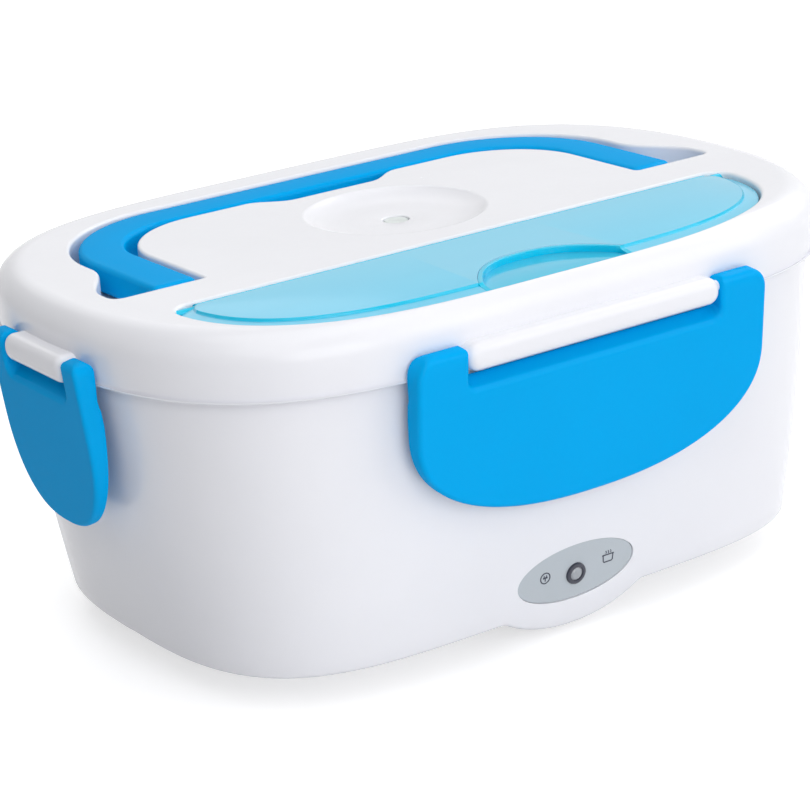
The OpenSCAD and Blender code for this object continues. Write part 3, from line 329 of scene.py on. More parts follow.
@dataclass(frozen=True)
class Tinted(Finish):
    """Clear tinted plastic, a little frosted, with faint flow marks."""

    alpha: float = 0.6
    roughness: float = 0.16
    coat: float = 0.2
    coat_roughness: float = 0.08
    shine: float = 0.3
    tone: Pair = (0.96, 1.05)
    grit: float = 0.06
    cloudy: float = 0.04
    wave: float = 0.00002

    def graph_into(self, graph: Graph) -> None:
        """Build the tinted plastic's nodes.

        Args:
            graph: the graph to build in.
        """
        flow = graph.noise(18.0, detail=3.0, stretch=(0.5, 2.0, 1.0))
        fine = graph.noise(700.0, detail=2.0)
        colour = graph.blend(flow, *(shade(self.colour, tone) for tone in self.tone))
        graph.finish(graph.surface({
            "Base Color": colour,
            "Roughness": self.roughness + (fine - 0.5) * self.grit,
            "Specular IOR Level": self.shine,
            "Coat Weight": self.coat,
            "Coat Roughness": self.coat_roughness,
            "Alpha": self.alpha + (flow - 0.5) * self.cloudy,
            "Normal": graph.bump(flow, self.wave),
        }))


@dataclass(frozen=True)
class Metal(Finish):
    """Brushed or rolled metal, with its grain along one axis."""

    roughness: float = 0.3
    grain: Triple = (0.03, 1.0, 1.0)
    tone: Pair = (0.9, 1.06)
    brush: float = 0.16
    smear: float = 0.08
    scratch: float = 0.000006

    def graph_into(self, graph: Graph) -> None:
        """Build the metal's nodes.

        Args:
            graph: the graph to build in.
        """
        lines = graph.noise(2600.0, detail=3.0, stretch=self.grain)
        cloud = graph.noise(30.0, detail=3.0)
        colour = graph.blend(lines, *(shade(self.colour, tone) for tone in self.tone))
        graph.finish(graph.surface({
            "Base Color": colour,
            "Metallic": 1.0,
            "Roughness": self.roughness + (lines - 0.5) * self.brush + (cloud - 0.5) * self.smear,
            "Normal": graph.bump(lines, self.scratch),
        }))


@dataclass(frozen=True)
class Rubber(Finish):
    """Matt rubber or silicone with a fine tooth."""

    roughness: float = 0.65
    tone: Pair = (0.93, 1.07)
    grit: float = 0.12
    tooth: float = 0.00003

    def graph_into(self, graph: Graph) -> None:
        """Build the rubber's nodes.

        Args:
            graph: the graph to build in.
        """
        fine = graph.noise(1500.0, detail=3.0)
        cloud = graph.noise(80.0, detail=3.0)
        colour = graph.blend(cloud, *(shade(self.colour, tone) for tone in self.tone))
        graph.finish(graph.surface({
            "Base Color": colour,
            "Roughness": self.roughness + (fine - 0.5) * self.grit,
            "Normal": graph.bump(fine, self.tooth),
        }))


@dataclass(frozen=True)
class Film(Finish):
    """A printed film or ink: satin, with a fine even tooth."""

    roughness: float = 0.36
    coat: float = 0.15
    tone: Pair = (0.95, 1.05)
    speck: float = 1.08
    grit: float = 0.1
    tooth: float = 0.000008

    def graph_into(self, graph: Graph) -> None:
        """Build the film's nodes.

        Args:
            graph: the graph to build in.
        """
        fine = graph.noise(2200.0, detail=2.0)
        cloud = graph.noise(45.0, detail=2.0)
        colour = graph.blend(cloud, *(shade(self.colour, tone) for tone in self.tone))
        colour = graph.blend((fine - 0.5) * 0.5 + 0.25, colour, shade(self.colour, self.speck))
        graph.finish(graph.surface({
            "Base Color": colour,
            "Roughness": self.roughness + (fine - 0.5) * self.grit,
            "Coat Weight": self.coat,
            "Normal": graph.bump(fine, self.tooth),
        }))


class Look(Enum):
    """The lunch box's finishes."""

    WHITE = Moulded(
        "glossy_white_plastic", (0.86, 0.865, 0.91), coat=0.08, scatter=0.08, shine=0.32
    )
    WELL = Moulded("satin_white_plastic", (0.82, 0.825, 0.85), roughness=0.38, coat=0.1)
    BLUE = Moulded("glossy_blue_plastic", (0.0, 0.395, 0.86), roughness=0.3, coat=0.1, shine=0.0)
    COVER = Tinted("clear_cyan_plastic", (0.19, 0.72, 0.99), alpha=0.86)
    TAB = Tinted("clear_turquoise_plastic", (0.06, 0.64, 0.90), alpha=0.86)
    # Painted edge shade: a deeper, more opaque copy of the cover's cyan. It stands in for the
    # darker look that light passing through thick clear plastic gives the cover's edges.
    COVER_EDGE_SHADE = Tinted("cyan_plastic_painted_edge_shade", (0.0, 0.60, 0.86), alpha=0.92)
    BOX_LID = Tinted("clear_box_lid_plastic", (0.45, 0.72, 0.90), alpha=0.45)
    TRAY = Metal("satin_steel", (0.62, 0.63, 0.65), 0.28)
    SPOON = Metal("polished_steel", (0.66, 0.67, 0.69), 0.16)
    SCREW = Metal("screw_steel", (0.55, 0.55, 0.57), 0.32, (1.0, 1.0, 1.0))
    PLATE = Metal("rolled_aluminium", (0.74, 0.75, 0.77), 0.36)
    BRASS = Metal("plated_brass", (0.72, 0.60, 0.34), 0.26, (1.0, 0.05, 1.0))
    VALVE = Rubber("clear_valve_silicone", (0.70, 0.75, 0.74), 0.42)
    SEAL = Rubber("white_seal_silicone", (0.80, 0.81, 0.82), 0.5)
    FOOT = Rubber("dark_foot_rubber", (0.045, 0.045, 0.05))
    SOCKET = Moulded("black_socket_plastic", (0.02, 0.02, 0.023), 0.4, 0.1)
    LABEL = Film("grey_label_film", (0.465, 0.51, 0.55))
    INK = Film("dark_label_ink", (0.022, 0.026, 0.05), 0.45)
    RING = Film("dark_lamp_ring", (0.03, 0.032, 0.05), 0.4)
    LENS = Moulded("grey_lamp_lens", (0.33, 0.35, 0.38), 0.12, 0.6)
    LED = Moulded("clear_lamp_body", (0.78, 0.77, 0.72), 0.15, 0.4)
    BOARD = Moulded("green_board_lacquer", (0.02, 0.16, 0.07), 0.3, 0.3)
    CERAMIC = Rubber("fuse_ceramic", (0.74, 0.73, 0.68), 0.5)
    RED_WIRE = Rubber("red_wire_sleeve", (0.42, 0.02, 0.02), 0.4)
    BLUE_WIRE = Rubber("blue_wire_sleeve", (0.02, 0.07, 0.40), 0.4)


# ---- Outlines ----


def signed_power(value: np.ndarray, power: float) -> np.ndarray:
    """Return |value| ** power with value's sign."""
    return np.sign(value) * np.abs(value) ** power


def oval(half: Pair, powers: Pair, angles: np.ndarray) -> Path:
    """Return points of a squared-off oval.

    Args:
        half: half sizes along x and y.
        powers: how square the oval is along x and y.
        angles: the points' angles, in radians.

    Returns:
        One point a row.
    """
    return np.stack([
        half[0] * signed_power(np.cos(angles), 2 / powers[0]),
        half[1] * signed_power(np.sin(angles), 2 / powers[1]),
    ], axis=1)


def even_angles(half: Pair, powers: Pair, count: int) -> np.ndarray:
    """Return angles that space points evenly round an oval.

    Args:
        half: half sizes along x and y.
        powers: how square the oval is.
        count: how many angles.

    Returns:
        The angles, in radians.
    """
    fine = np.linspace(0, 2 * math.pi, 40001)
    path = oval(half, powers, fine)
    length = np.concatenate([[0], np.cumsum(np.linalg.norm(np.diff(path, axis=0), axis=1))])
    return np.interp((np.arange(count) + 0.5) / count * length[-1], length, fine)


def rounded(corners: Sequence[Triple], step: float) -> Path:
    """Return a closed path with round corners and no long segments.

    Args:
        corners: x, y and radius of each corner, in order.
        step: the longest segment.

    Returns:
        One point a row.
    """
    points: list[np.ndarray] = []
    count = len(corners)
    for k, (x, y, radius) in enumerate(corners):
        here = np.array([x, y])
        before = np.array(corners[k - 1][:2]) - here
        after = np.array(corners[(k + 1) % count][:2]) - here
        before, after = before / np.linalg.norm(before), after / np.linalg.norm(after)
        turn = math.acos(max(-1.0, min(1.0, float(before @ after))))
        if radius <= 0 or abs(math.pi - turn) < LEAST_TURN:
            points.append(here)
            continue
        reach = radius / math.tan(turn / 2)
        inward = before + after
        middle = here + inward / np.linalg.norm(inward) * radius / math.sin(turn / 2)
        start, end = here + before * reach - middle, here + after * reach - middle
        sweep = math.pi - turn
        steps = max(3, int(math.ceil(max(sweep * radius / step, sweep / CORNER_TURN))))
        first = math.atan2(start[1], start[0])
        side = 1 if start[0] * end[1] - start[1] * end[0] > 0 else -1
        for i in range(steps + 1):
            angle = first + side * sweep * i / steps
            points.append(middle + radius * np.array([math.cos(angle), math.sin(angle)]))
    return divided(np.array(points), step)


def divided(path: Path, step: float) -> Path:
    """Return a closed path whose long segments are cut to at most step.

    Args:
        path: the path, one point a row.
        step: the longest segment.

    Returns:
        The path with the added points.
    """
    out: list[np.ndarray] = []
    for a, b in zip(path, np.roll(path, -1, axis=0)):
        length = float(np.linalg.norm(b - a))
        if length < JOINED:
            continue
        cuts = max(1, int(math.ceil(length / step)))
        out.extend(a + (b - a) * i / cuts for i in range(cuts))
    return np.array(out)


def circle(radius: float, count: int, middle: Pair = (0.0, 0.0)) -> Path:
    """Return a circle as a closed path."""
    angles = np.arange(count) * 2 * math.pi / count
    return np.stack([middle[0] + radius * np.cos(angles), middle[1] + radius * np.sin(angles)], 1)


def grown(path: Path, distance: float) -> Path:
    """Return a closed counter-clockwise path moved outward by distance.

    Args:
        path: the path, one point a row.
        distance: how far outward.

    Returns:
        The moved path, with as many points.
    """
    ahead = np.roll(path, -1, axis=0) - path
    ahead /= np.linalg.norm(ahead, axis=1, keepdims=True)
    side = np.stack([ahead[:, 1], -ahead[:, 0]], axis=1)
    before = np.roll(side, 1, axis=0)
    scale = 1 + np.sum(side * before, axis=1, keepdims=True)
    return path + distance * (side + before) / np.maximum(scale, 0.5)


COVER_POWERS = (4.0, 2.2)


def cover_outline(
    half: float, depth: float, hinge: float, back: float, corner: float, stop: float
) -> Path:
    """Return a D with a straight back edge, round back corners and a full front.

    Args:
        half: its half length.
        depth: how far its front lies before its widest place.
        hinge: y of its widest place.
        back: y of the edge that its back corners round off to.
        corner: radius of its back corners.
        stop: y at which the outline ends.

    Returns:
        One point a row, counter-clockwise.
    """
    path = oval((half, depth), COVER_POWERS, np.linspace(math.pi, 2 * math.pi, 161)) + (0, hinge)
    if stop > hinge:
        ys = stop - (stop - hinge) * (1 - np.linspace(0, 1, 13)[1:]) ** 2
        side = np.stack([np.full(len(ys), half), ys], axis=1)
        path = np.concatenate([path, side, side[::-1] * (-1, 1)])
    reach = np.clip(corner - (back - path[:, 1]), 0, corner)
    path[:, 0] -= np.sign(path[:, 0]) * (corner - np.sqrt(corner ** 2 - reach ** 2))
    return path


def within(path: Path, points: np.ndarray) -> np.ndarray:
    """Return which points lie inside a closed path.

    Args:
        path: the closed path.
        points: x and y, one point a row.

    Returns:
        True for each point inside.
    """
    hit = np.zeros(len(points), dtype=bool)
    px, py = points[:, 0], points[:, 1]
    for (x0, y0), (x1, y1) in zip(path, np.roll(path, -1, axis=0)):
        if y0 == y1:
            continue
        spans = (py >= min(y0, y1)) & (py < max(y0, y1))
        cross = x0 + (py - y0) * (x1 - x0) / (y1 - y0)
        hit ^= spans & (px < cross)
    return hit


def patches(triangles: Sequence[Sequence[int]], fixed: set[tuple[int, ...]]) -> list[list[int]]:
    """Sort triangles into patches that no fixed side runs through.

    Args:
        triangles: three point numbers each.
        fixed: the sides that part one patch from the next.

    Returns:
        The triangles' numbers, patch by patch.
    """
    beside: dict[tuple[int, ...], list[int]] = {}
    for number, (a, b, c) in enumerate(triangles):
        for side in ((a, b), (b, c), (c, a)):
            beside.setdefault(tuple(sorted(side)), []).append(number)
    seen: set[int] = set()
    out: list[list[int]] = []
    for start in range(len(triangles)):
        if start in seen:
            continue
        seen.add(start)
        patch, queue = [], [start]
        while queue:
            number = queue.pop()
            patch.append(number)
            a, b, c = triangles[number]
            for side in ((a, b), (b, c), (c, a)):
                key = tuple(sorted(side))
                if key not in fixed:
                    fresh = [n for n in beside[key] if n not in seen]
                    seen.update(fresh)
                    queue.extend(fresh)
        out.append(patch)
    return out


# ---- Meshes ----


class Shell:
    """A mesh under construction, in millimetres."""

    def __init__(self) -> None:
        """Start an empty mesh."""
        self.points: list[Triple] = []
        self.faces: list[tuple[int, ...]] = []

    def ring(self, flat: Path, height: Any) -> list[int]:
        """Add a ring of points.

        Args:
            flat: the ring's x and y, one point a row.
            height: its z, as a number or one for each point.

        Returns:
            The points' numbers.
        """
        z = np.broadcast_to(height, len(flat))
        start = len(self.points)
        self.points.extend((float(p[0]), float(p[1]), float(h)) for p, h in zip(flat, z))
        return list(range(start, len(self.points)))

    def bridge(self, first: Sequence[int], second: Sequence[int], closed: bool = True) -> None:
        """Join two rings of equal length with quads.

        Args:
            first: the first ring's point numbers.
            second: the second ring's.
            closed: whether the rings run round.
        """
        count = len(first)
        for i in range(count if closed else count - 1):
            k = (i + 1) % count
            self.faces.append((first[i], first[k], second[k], second[i]))

    def stack(self, rings: Sequence[Sequence[int]]) -> None:
        """Join each ring to the next."""
        for first, second in zip(rings, rings[1:]):
            self.bridge(first, second)

    def fill(
        self,
        outer: Sequence[int],
        holes: Sequence[Sequence[int]] = (),
        extra: np.ndarray | None = None,
        height: Callable[[np.ndarray], np.ndarray] | None = None,
    ) -> None:
        """Fill the space between rings with triangles.

        Args:
            outer: the ring round the outside.
            holes: rings inside it that stay open.
            extra: x and y of points to add between them.
            height: the z of the added points.
        """
        loops = [outer, *holes]
        level = self.points[outer[0]][2]
        numbers = [i for loop in loops for i in loop]
        edges: list[tuple[int, int]] = []
        for loop in loops:
            start = len(edges)
            edges.extend((start + k, start + (k + 1) % len(loop)) for k in range(len(loop)))
        borders = [np.array([self.points[i][:2] for i in loop]) for loop in loops]
        if extra is not None and len(extra):
            keep = within(borders[0], extra)
            for border in borders[1:]:
                keep &= ~within(border, extra)
            extra = extra[keep]
            numbers.extend(self.ring(extra, height(extra) if height else level))
        flat = [Vector(self.points[i][:2]) for i in numbers]
        made, sides, triangles, source, origins, _ = delaunay_2d_cdt(flat, edges, [], 0, JOINED)
        index: list[int] = []
        for place, origin in zip(made, source):
            if origin:
                index.append(numbers[origin[0]])
            else:
                point = np.array([[place.x, place.y]])
                index.extend(self.ring(point, height(point) if height else level))
        fixed = {tuple(sorted(side)) for side, origin in zip(sides, origins) if origin}
        flat = np.array([point[:] for point in made])
        used: set[tuple[int, ...]] = set()
        for patch in patches(triangles, fixed):
            corners = flat[np.array([triangles[i] for i in patch])]
            first, second = corners[:, 1] - corners[:, 0], corners[:, 2] - corners[:, 0]
            areas = np.abs(first[:, 0] * second[:, 1] - first[:, 1] * second[:, 0]) / 2
            centre = corners[areas.argmax()].mean(axis=0, keepdims=True)
            in_hole = any(within(border, centre)[0] for border in borders[1:])
            if within(borders[0], centre)[0] and not in_hole and areas.max() > LEAST_AREA:
                for k in patch:
                    a, b, c = (index[i] for i in triangles[k])
                    self.faces.append((a, b, c))
                    used.update(tuple(sorted(side)) for side in ((a, b), (b, c), (c, a)))
        for loop in loops:
            self.seal(loop, used)

    def seal(self, loop: Sequence[int], used: set[tuple[int, ...]]) -> None:
        """Close the slivers along a ring whose nearly straight points were passed over.

        Args:
            loop: the ring.
            used: the sides that faces beside the ring already have.
        """
        count = len(loop)
        bare = [tuple(sorted((loop[k], loop[(k + 1) % count]))) not in used for k in range(count)]
        if all(bare):
            return
        start = bare.index(False)
        run: list[int] = []
        for k in range(start, start + count + 1):
            if bare[k % count]:
                run = run or [loop[k % count]]
                run.append(loop[(k + 1) % count])
            elif run:
                if len(run) > 2:
                    self.faces.append(tuple(run))
                run = []

    def slab(
        self,
        outline: Path,
        low: float,
        high: float,
        low_edge: float,
        high_edge: float,
        steps: int = 4,
    ) -> None:
        """Add a plate with rounded edges.

        Args:
            outline: its outline, counter-clockwise.
            low: height of its underside.
            high: height of its top.
            low_edge: radius round the underside.
            high_edge: radius round the top.
            steps: faces across each rounded edge.
        """
        rings = []
        for k in range(steps + 1):
            turn = math.pi / 2 * k / steps
            inset = low_edge * (1 - math.sin(turn))
            rings.append(self.ring(grown(outline, -inset), low + low_edge * (1 - math.cos(turn))))
        for k in range(steps + 1):
            turn = math.pi / 2 * (1 - k / steps)
            inset = high_edge * (1 - math.sin(turn))
            rings.append(self.ring(grown(outline, -inset), high - high_edge * (1 - math.cos(turn))))
        self.stack(rings)
        self.fill(rings[0])
        self.fill(rings[-1])

    def lathe(self, profile: Sequence[Pair], count: int) -> None:
        """Add a closed turned solid whose profile starts and ends on the axis.

        Args:
            profile: radius and height pairs.
            count: points round it.
        """
        rings = [self.ring(circle(max(r, LEAST_RADIUS), count), z) for r, z in profile]
        self.stack(rings)
        self.faces.append(tuple(rings[0]))
        self.faces.append(tuple(reversed(rings[-1])))

    def moved(self, change: Callable[[np.ndarray], np.ndarray]) -> "Shell":
        """Pass all points through a function and return the shell."""
        self.points = [tuple(p) for p in change(np.array(self.points))]
        return self

    def add(self, other: "Shell") -> "Shell":
        """Take in another shell's faces and return this one.

        Args:
            other: the shell to take in.

        Returns:
            This shell.
        """
        start = len(self.points)
        self.points.extend(other.points)
        self.faces.extend(tuple(i + start for i in face) for face in other.faces)
        return self

    def mesh(self, name: str, sharp: float = SHARP) -> bpy.types.Mesh:
        """Make the mesh, in metres.

        Args:
            name: the mesh's name.
            sharp: edges that turn more than this many degrees stay crisp.

        Returns:
            The mesh.
        """
        made = bmesh.new()
        verts = [made.verts.new(Vector(p) * MILLIMETRE) for p in self.points]
        for face in self.faces:
            corners = list(dict.fromkeys(face))
            if len(corners) > 2:
                try:
                    made.faces.new([verts[i] for i in corners])
                except ValueError:
                    continue
        bmesh.ops.remove_doubles(made, verts=made.verts, dist=JOINED_METRES)
        loose = [v for v in made.verts if not v.link_faces]
        bmesh.ops.delete(made, geom=loose, context="VERTS")
        bmesh.ops.recalc_face_normals(made, faces=made.faces)
        mesh = bpy.data.meshes.new(name)
        made.to_mesh(mesh)
        made.free()
        mesh.polygons.foreach_set("use_smooth", [True] * len(mesh.polygons))
        mesh.set_sharp_from_angle(angle=math.radians(sharp))
        return mesh


def turned(matrix: Matrix) -> Callable[[np.ndarray], np.ndarray]:
    """Return a function that moves points by a matrix."""
    table = np.array(matrix)
    return lambda points: points @ table[:3, :3].T + table[:3, 3]


def place_piece(
    name: str,
    shell: Shell,
    look: Look,
    body: str,
    nodes: Sequence[str] = (),
    sharp: float = SHARP,
) -> bpy.types.Object:
    """Make a piece, dress it and let it ride on its body.

    Args:
        name: the piece's name.
        shell: its shape.
        look: its finish.
        body: the body that it rides on.
        nodes: CAD nodes that it stands for.
        sharp: edges that turn more than this many degrees stay crisp.

    Returns:
        The piece.
    """
    piece = bpy.data.objects.new(name, shell.mesh(name, sharp))
    bpy.context.scene.collection.objects.link(piece)
    piece.data.materials.append(look.value.material())
    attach(piece, body)
    if nodes:
        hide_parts(*nodes)
    log.info("%s: %d faces, on %s", name, len(piece.data.polygons), body)
    return piece


# ---- Shared form ----


@dataclass(frozen=True)
class BoxForm:
    """The outlines that the lid, the body and the latches share."""

    lid_half: Pair = (115.0, 80.0)
    rim_half: Pair = (112.1, 77.1)
    foot_half: Pair = (99.5, 67.5)
    lid_powers: Pair = (4.4, 2.3)
    foot_powers: Pair = (5.3, 3.0)
    lower_z: float = 8.5
    rim_z: float = 90.0
    top_z: float = 105.0
    pivot_z: float = 91.8
    latch_reach: float = 1.8
    bow: float = 0.8
    count: int = 440

    def angles(self) -> np.ndarray:
        """Return angles that space points evenly round the lid."""
        return even_angles(self.lid_half, self.lid_powers, self.count)

    def lid_ring(self, inset: float) -> Path:
        """Return the lid's outline, drawn in by inset."""
        half = (self.lid_half[0] - inset, self.lid_half[1] - inset)
        return oval(half, self.lid_powers, self.angles())

    def body_half(self, z: float) -> Pair:
        """Return the body's half sizes at a height.

        Args:
            z: the height.

        Returns:
            The half sizes along x and y.
        """
        rise = (z - self.lower_z) / (self.rim_z - self.lower_z)
        bow = self.bow * math.sin(math.pi * rise)
        return tuple(f + (r - f) * rise + bow for f, r in zip(self.foot_half, self.rim_half))

    def body_ring(self, inset: float, z: float) -> Path:
        """Return the body's outline at a height, drawn in by inset.

        Args:
            inset: how far it is drawn in.
            z: the height.

        Returns:
            One point a row.
        """
        rise = min(1.0, max(0.0, (z - self.lower_z) / (self.rim_z - self.lower_z)))
        powers = tuple(f + (l - f) * rise for f, l in zip(self.foot_powers, self.lid_powers))
        half = tuple(h - inset for h in self.body_half(z))
        return oval(half, powers, self.angles())

    def on_front_wall(self, z: float) -> Matrix:
        """Return the place on the front wall at a height: x across, y up, z out.

        Args:
            z: the height.

        Returns:
            The matrix that puts a flat piece there.
        """
        tilt = math.atan((self.body_half(z + 1)[1] - self.body_half(z - 1)[1]) / 2)
        turn = Matrix.Rotation(math.pi / 2 + tilt, 4, "X")
        return Matrix.Translation((0, -self.body_half(z)[1], z)) @ turn


def arc_steps(count: int) -> list[Pair]:
    """Return (1 - sin, 1 - cos) pairs over a quarter turn, for rounded edges."""
    turns = [math.pi / 2 * k / count for k in range(count + 1)]
    return [(1 - math.sin(t), 1 - math.cos(t)) for t in turns]


# ---- Lid ----


@dataclass
class Lid:
    """The lid's shell, with its handle recess, spoon bay and steam dish."""

    form: BoxForm
    wall: float = 2.4
    taper: float = 0.5
    skirt_z: float = 87.5
    shoulder: float = 8.0
    skirt_edges: Pair = (0.5, 0.9)
    pocket_z: float = 96.0
    pocket_root: float = 0.8
    under_z: float = 94.75
    edge: float = 1.0
    seam: float = 5.0
    top_rings: tuple[float, ...] = (5.6, 6.2, 6.8, 7.4, 8.0, 8.5)
    grid_step: int = 6
    grid_half: tuple[int, int] = (108, 72)
    grid_reach: Pair = (105, 70)
    channel_half: float = 89.5
    channel_back: float = 62.5
    channel_front: float = -11.0
    channel_corner: float = 39.5
    flare_half: float = 99.5
    flare_span: Pair = (-5.0, 19.0)
    panel_half: float = 72.5
    panel_back: float = 46.0
    panel_corner: float = 27.5
    recess: Triple = (26.0, 13.0, 6.5)
    bay_x: float = -3.0
    bay_half: float = 91.0
    bay_hinge: float = -30.6
    bay_back: float = -28.5
    bay_depth: float = 43.4
    bay_corner: float = 6.5
    dish_y: float = 7.0
    dish_radius: float = 26.0
    dish_floor_radius: float = 12.5
    dish_floor_z: float = 102.2
    dish_points: int = 120
    dish_steps: int = 14
    vent_radius: float = 3.8
    vent_edge: float = 0.5
    rail_depths: Pair = (-6.0, 3.0)
    rail_heights: Pair = (-4.4, 3.0)
    rail_edges: Pair = (0.3, 2.6)
    rail_corner: float = 3.5
    rail_gap: float = 0.3
    pin_radius: float = 1.5
    pin_bevel: Pair = (0.2, 0.1)
    pin_short: float = 3.3
    halvings: int = 40

    def channel(self) -> Path:
        """Return the outline of the handle's recess, a U round the middle panel.

        Returns:
            One point a row, counter-clockwise.
        """
        low, high = self.flare_span
        flare = []
        for k in range(17):
            s = k / 16
            narrow = self.channel_half - self.flare_half
            x = self.flare_half + narrow * (1 - math.cos(math.pi * s)) / 2
            flare.append((x, low + (high - low) * s, 0.0))
        half, flat, depth = self.recess
        notch = []
        for k in range(-20, 21):
            x = half * k / 20
            s = min(1.0, (half - abs(x)) / (half - flat))
            notch.append((x, self.panel_back - depth * (1 - math.cos(math.pi * s)) / 2, 0.0))
        right = [
            (self.panel_half, self.channel_front, 1.2),
            (self.flare_half, self.channel_front, 3.0),
            *flare,
            (self.channel_half, self.channel_back, self.channel_corner),
        ]
        left = [(-x, y, r) for x, y, r in reversed(right)]
        inner = [(-self.panel_half, self.panel_back, self.panel_corner), *notch]
        inner.append((self.panel_half, self.panel_back, self.panel_corner))
        return rounded([*right, *left, *inner], 1.6)

    def bay(self) -> Path:
        """Return the outline of the spoon bay, a D with its straight edge to the back.

        Returns:
            One point a row, counter-clockwise.
        """
        outline = cover_outline(
            self.bay_half,
            self.bay_depth,
            self.bay_hinge,
            self.bay_back,
            self.bay_corner,
            self.bay_back,
        )
        return divided(outline + (self.bay_x, 0), 1.6)

    def height(self, points: np.ndarray) -> np.ndarray:
        """Return the height of the lid's top surface.

        Args:
            points: x and y, one point a row.

        Returns:
            One height a point.
        """
        low = np.zeros(len(points))
        high = np.full(len(points), self.taper + self.shoulder)
        a, b = self.form.lid_half
        p, q = self.form.lid_powers
        for _ in range(self.halvings):
            mid = (low + high) / 2
            across = (np.abs(points[:, 0]) / (a - mid)) ** p
            outside = across + (np.abs(points[:, 1]) / (b - mid)) ** q > 1
            high = np.where(outside, mid, high)
            low = np.where(outside, low, mid)
        reach = np.clip((high - self.taper) / self.shoulder, 0, 1)
        return self.form.top_z - self.shoulder * (1 - np.sqrt(np.clip(1 - (1 - reach) ** 2, 0, 1)))

    def pocket(self, shell: Shell, outline: Path) -> list[int]:
        """Add a pocket with a rounded mouth and foot.

        Args:
            shell: the shell to build in.
            outline: its outline, counter-clockwise.

        Returns:
            The ring at its mouth.
        """
        root = self.pocket_root
        top = self.height(grown(outline, self.edge))
        rings = []
        for across, down in arc_steps(5)[::-1]:
            rings.append(shell.ring(grown(outline, self.edge * across), top - self.edge * down))
        rings.sort(key=lambda ring: -shell.points[ring[0]][2])
        for across, down in arc_steps(4):
            rings.append(shell.ring(grown(outline, -root * down), self.pocket_z + root * across))
        shell.stack(rings)
        shell.fill(rings[-1])
        return rings[0]

    def dish(self, shell: Shell) -> tuple[list[int], list[int]]:
        """Add the steam dish with its hole.

        Args:
            shell: the shell to build in.

        Returns:
            The ring at its mouth and the ring at the foot of its hole.
        """
        middle, count = (0.0, self.dish_y), self.dish_points
        wide, deep = self.dish_radius - self.dish_floor_radius, self.form.top_z - self.dish_floor_z
        rings = []
        for k in range(self.dish_steps + 1):
            s = math.sqrt(1 - k / self.dish_steps)
            outline = circle(self.dish_floor_radius + wide * s, count, middle)
            rings.append(shell.ring(outline, self.dish_floor_z + deep * s ** 3))
        hole, edge = self.vent_radius, self.vent_edge
        for across, down in arc_steps(3):
            outline = circle(hole + edge * across, count, middle)
            rings.append(shell.ring(outline, self.dish_floor_z - edge * down))
        rings.sort(key=lambda ring: -abs(shell.points[ring[0]][0]))
        rings.append(shell.ring(circle(hole, count, middle), self.under_z))
        shell.stack(rings)
        return rings[0], rings[-1]

    def side(self, made: Shell) -> tuple[list[int], list[int]]:
        """Add the lid's side, from its inner wall round the shoulder to the seam.

        Args:
            made: the shell to build in.

        Returns:
            The ring under the lid and the ring at the seam.
        """
        form = self.form
        inner, outer = self.skirt_edges
        rings = [made.ring(form.lid_ring(self.wall + 0.4), self.under_z)]
        for across, down in arc_steps(3):
            outline = form.lid_ring(self.wall - inner * down)
            rings.append(made.ring(outline, self.skirt_z + inner * across))
        for down, across in arc_steps(4)[::-1]:
            rings.append(made.ring(form.lid_ring(outer * down), self.skirt_z + outer * across))
        halfway = (self.skirt_z + form.top_z - self.shoulder) / 2
        rings.append(made.ring(form.lid_ring(self.taper * 0.5), halfway))
        for turn in range(0, 91, 5):
            angle = math.radians(turn)
            inset = self.taper + self.shoulder * (1 - math.cos(angle))
            if inset > self.seam:
                break
            height = form.top_z - self.shoulder * (1 - math.sin(angle))
            rings.append(made.ring(form.lid_ring(inset), height))
        edge = form.lid_ring(self.seam)
        rings.append(made.ring(edge, self.height(edge)))
        made.stack(rings)
        return rings[0], rings[-1]

    def shell(self) -> Shell:
        """Return the lid's closed shell.

        Returns:
            The shell, without the rails.
        """
        made = Shell()
        under, seam = self.side(made)
        holes = [self.pocket(made, self.channel()), self.pocket(made, self.bay())]
        mouth, vent = self.dish(made)
        holes.append(mouth)
        extra = [self.form.lid_ring(inset) for inset in self.top_rings]
        for hole in holes:
            border = np.array([made.points[i][:2] for i in hole])
            if np.cross(border[1] - border[0], border[2] - border[1]) < 0:
                border = border[::-1]
            extra.append(grown(border, 0.4))
        ticks = (np.arange(-half, half + 1, self.grid_step) for half in self.grid_half)
        grid = np.stack(np.meshgrid(*ticks), -1).reshape(-1, 2)
        a, b = self.grid_reach
        p, q = self.form.lid_powers
        keep = (np.abs(grid[:, 0]) / a) ** p + (np.abs(grid[:, 1]) / b) ** q < 1
        extra.append(grid[keep].astype(float))
        made.fill(seam, holes, np.concatenate(extra), self.height)
        made.fill(under, [vent])
        return made

    def rail(self, width: float, ear: float) -> Shell:
        """Return the rail between a latch's ears, about the latch's pivot.

        Args:
            width: the latch's width.
            ear: the width of each of its ears.

        Returns:
            The rail with its two pins.
        """
        half, corner = width / 2 - ear - self.rail_gap, self.rail_corner
        low, high = self.rail_heights
        corners = [(half, low), (half, high), (-half, high), (-half, low)]
        made = Shell()
        outline = rounded([(x, z, corner) for x, z in corners], 2.5)
        made.slab(outline, *self.rail_depths, *self.rail_edges, 6)
        made.moved(lambda p: np.stack([p[:, 0], -p[:, 2], p[:, 1]], axis=1))
        root, end, radius = half - 1, width / 2 - self.pin_short, self.pin_radius
        slope, bevel = self.pin_bevel
        bevelled = [(radius, end - bevel), (radius - slope, end)]
        profile = [(0, root), (radius, root), *bevelled, (0, end)]
        for side in (-1, 1):
            pin = Shell()
            pin.lathe(profile, 24)
            pin.moved(lambda p, s=side: np.stack([s * p[:, 2], p[:, 0], p[:, 1]], axis=1))
            made.add(pin)
        return made

    def build(self) -> None:
        """Make the lid's pieces."""
        made = self.shell()
        for face in Face:
            width, ear = face.latch.width, face.latch.ear
            made.add(self.rail(width, ear).moved(turned(face.place(self.form))))
        place_piece("lid_skin", made, Look.WHITE, "lid", ["lid_shell"])


# ---- Latches ----


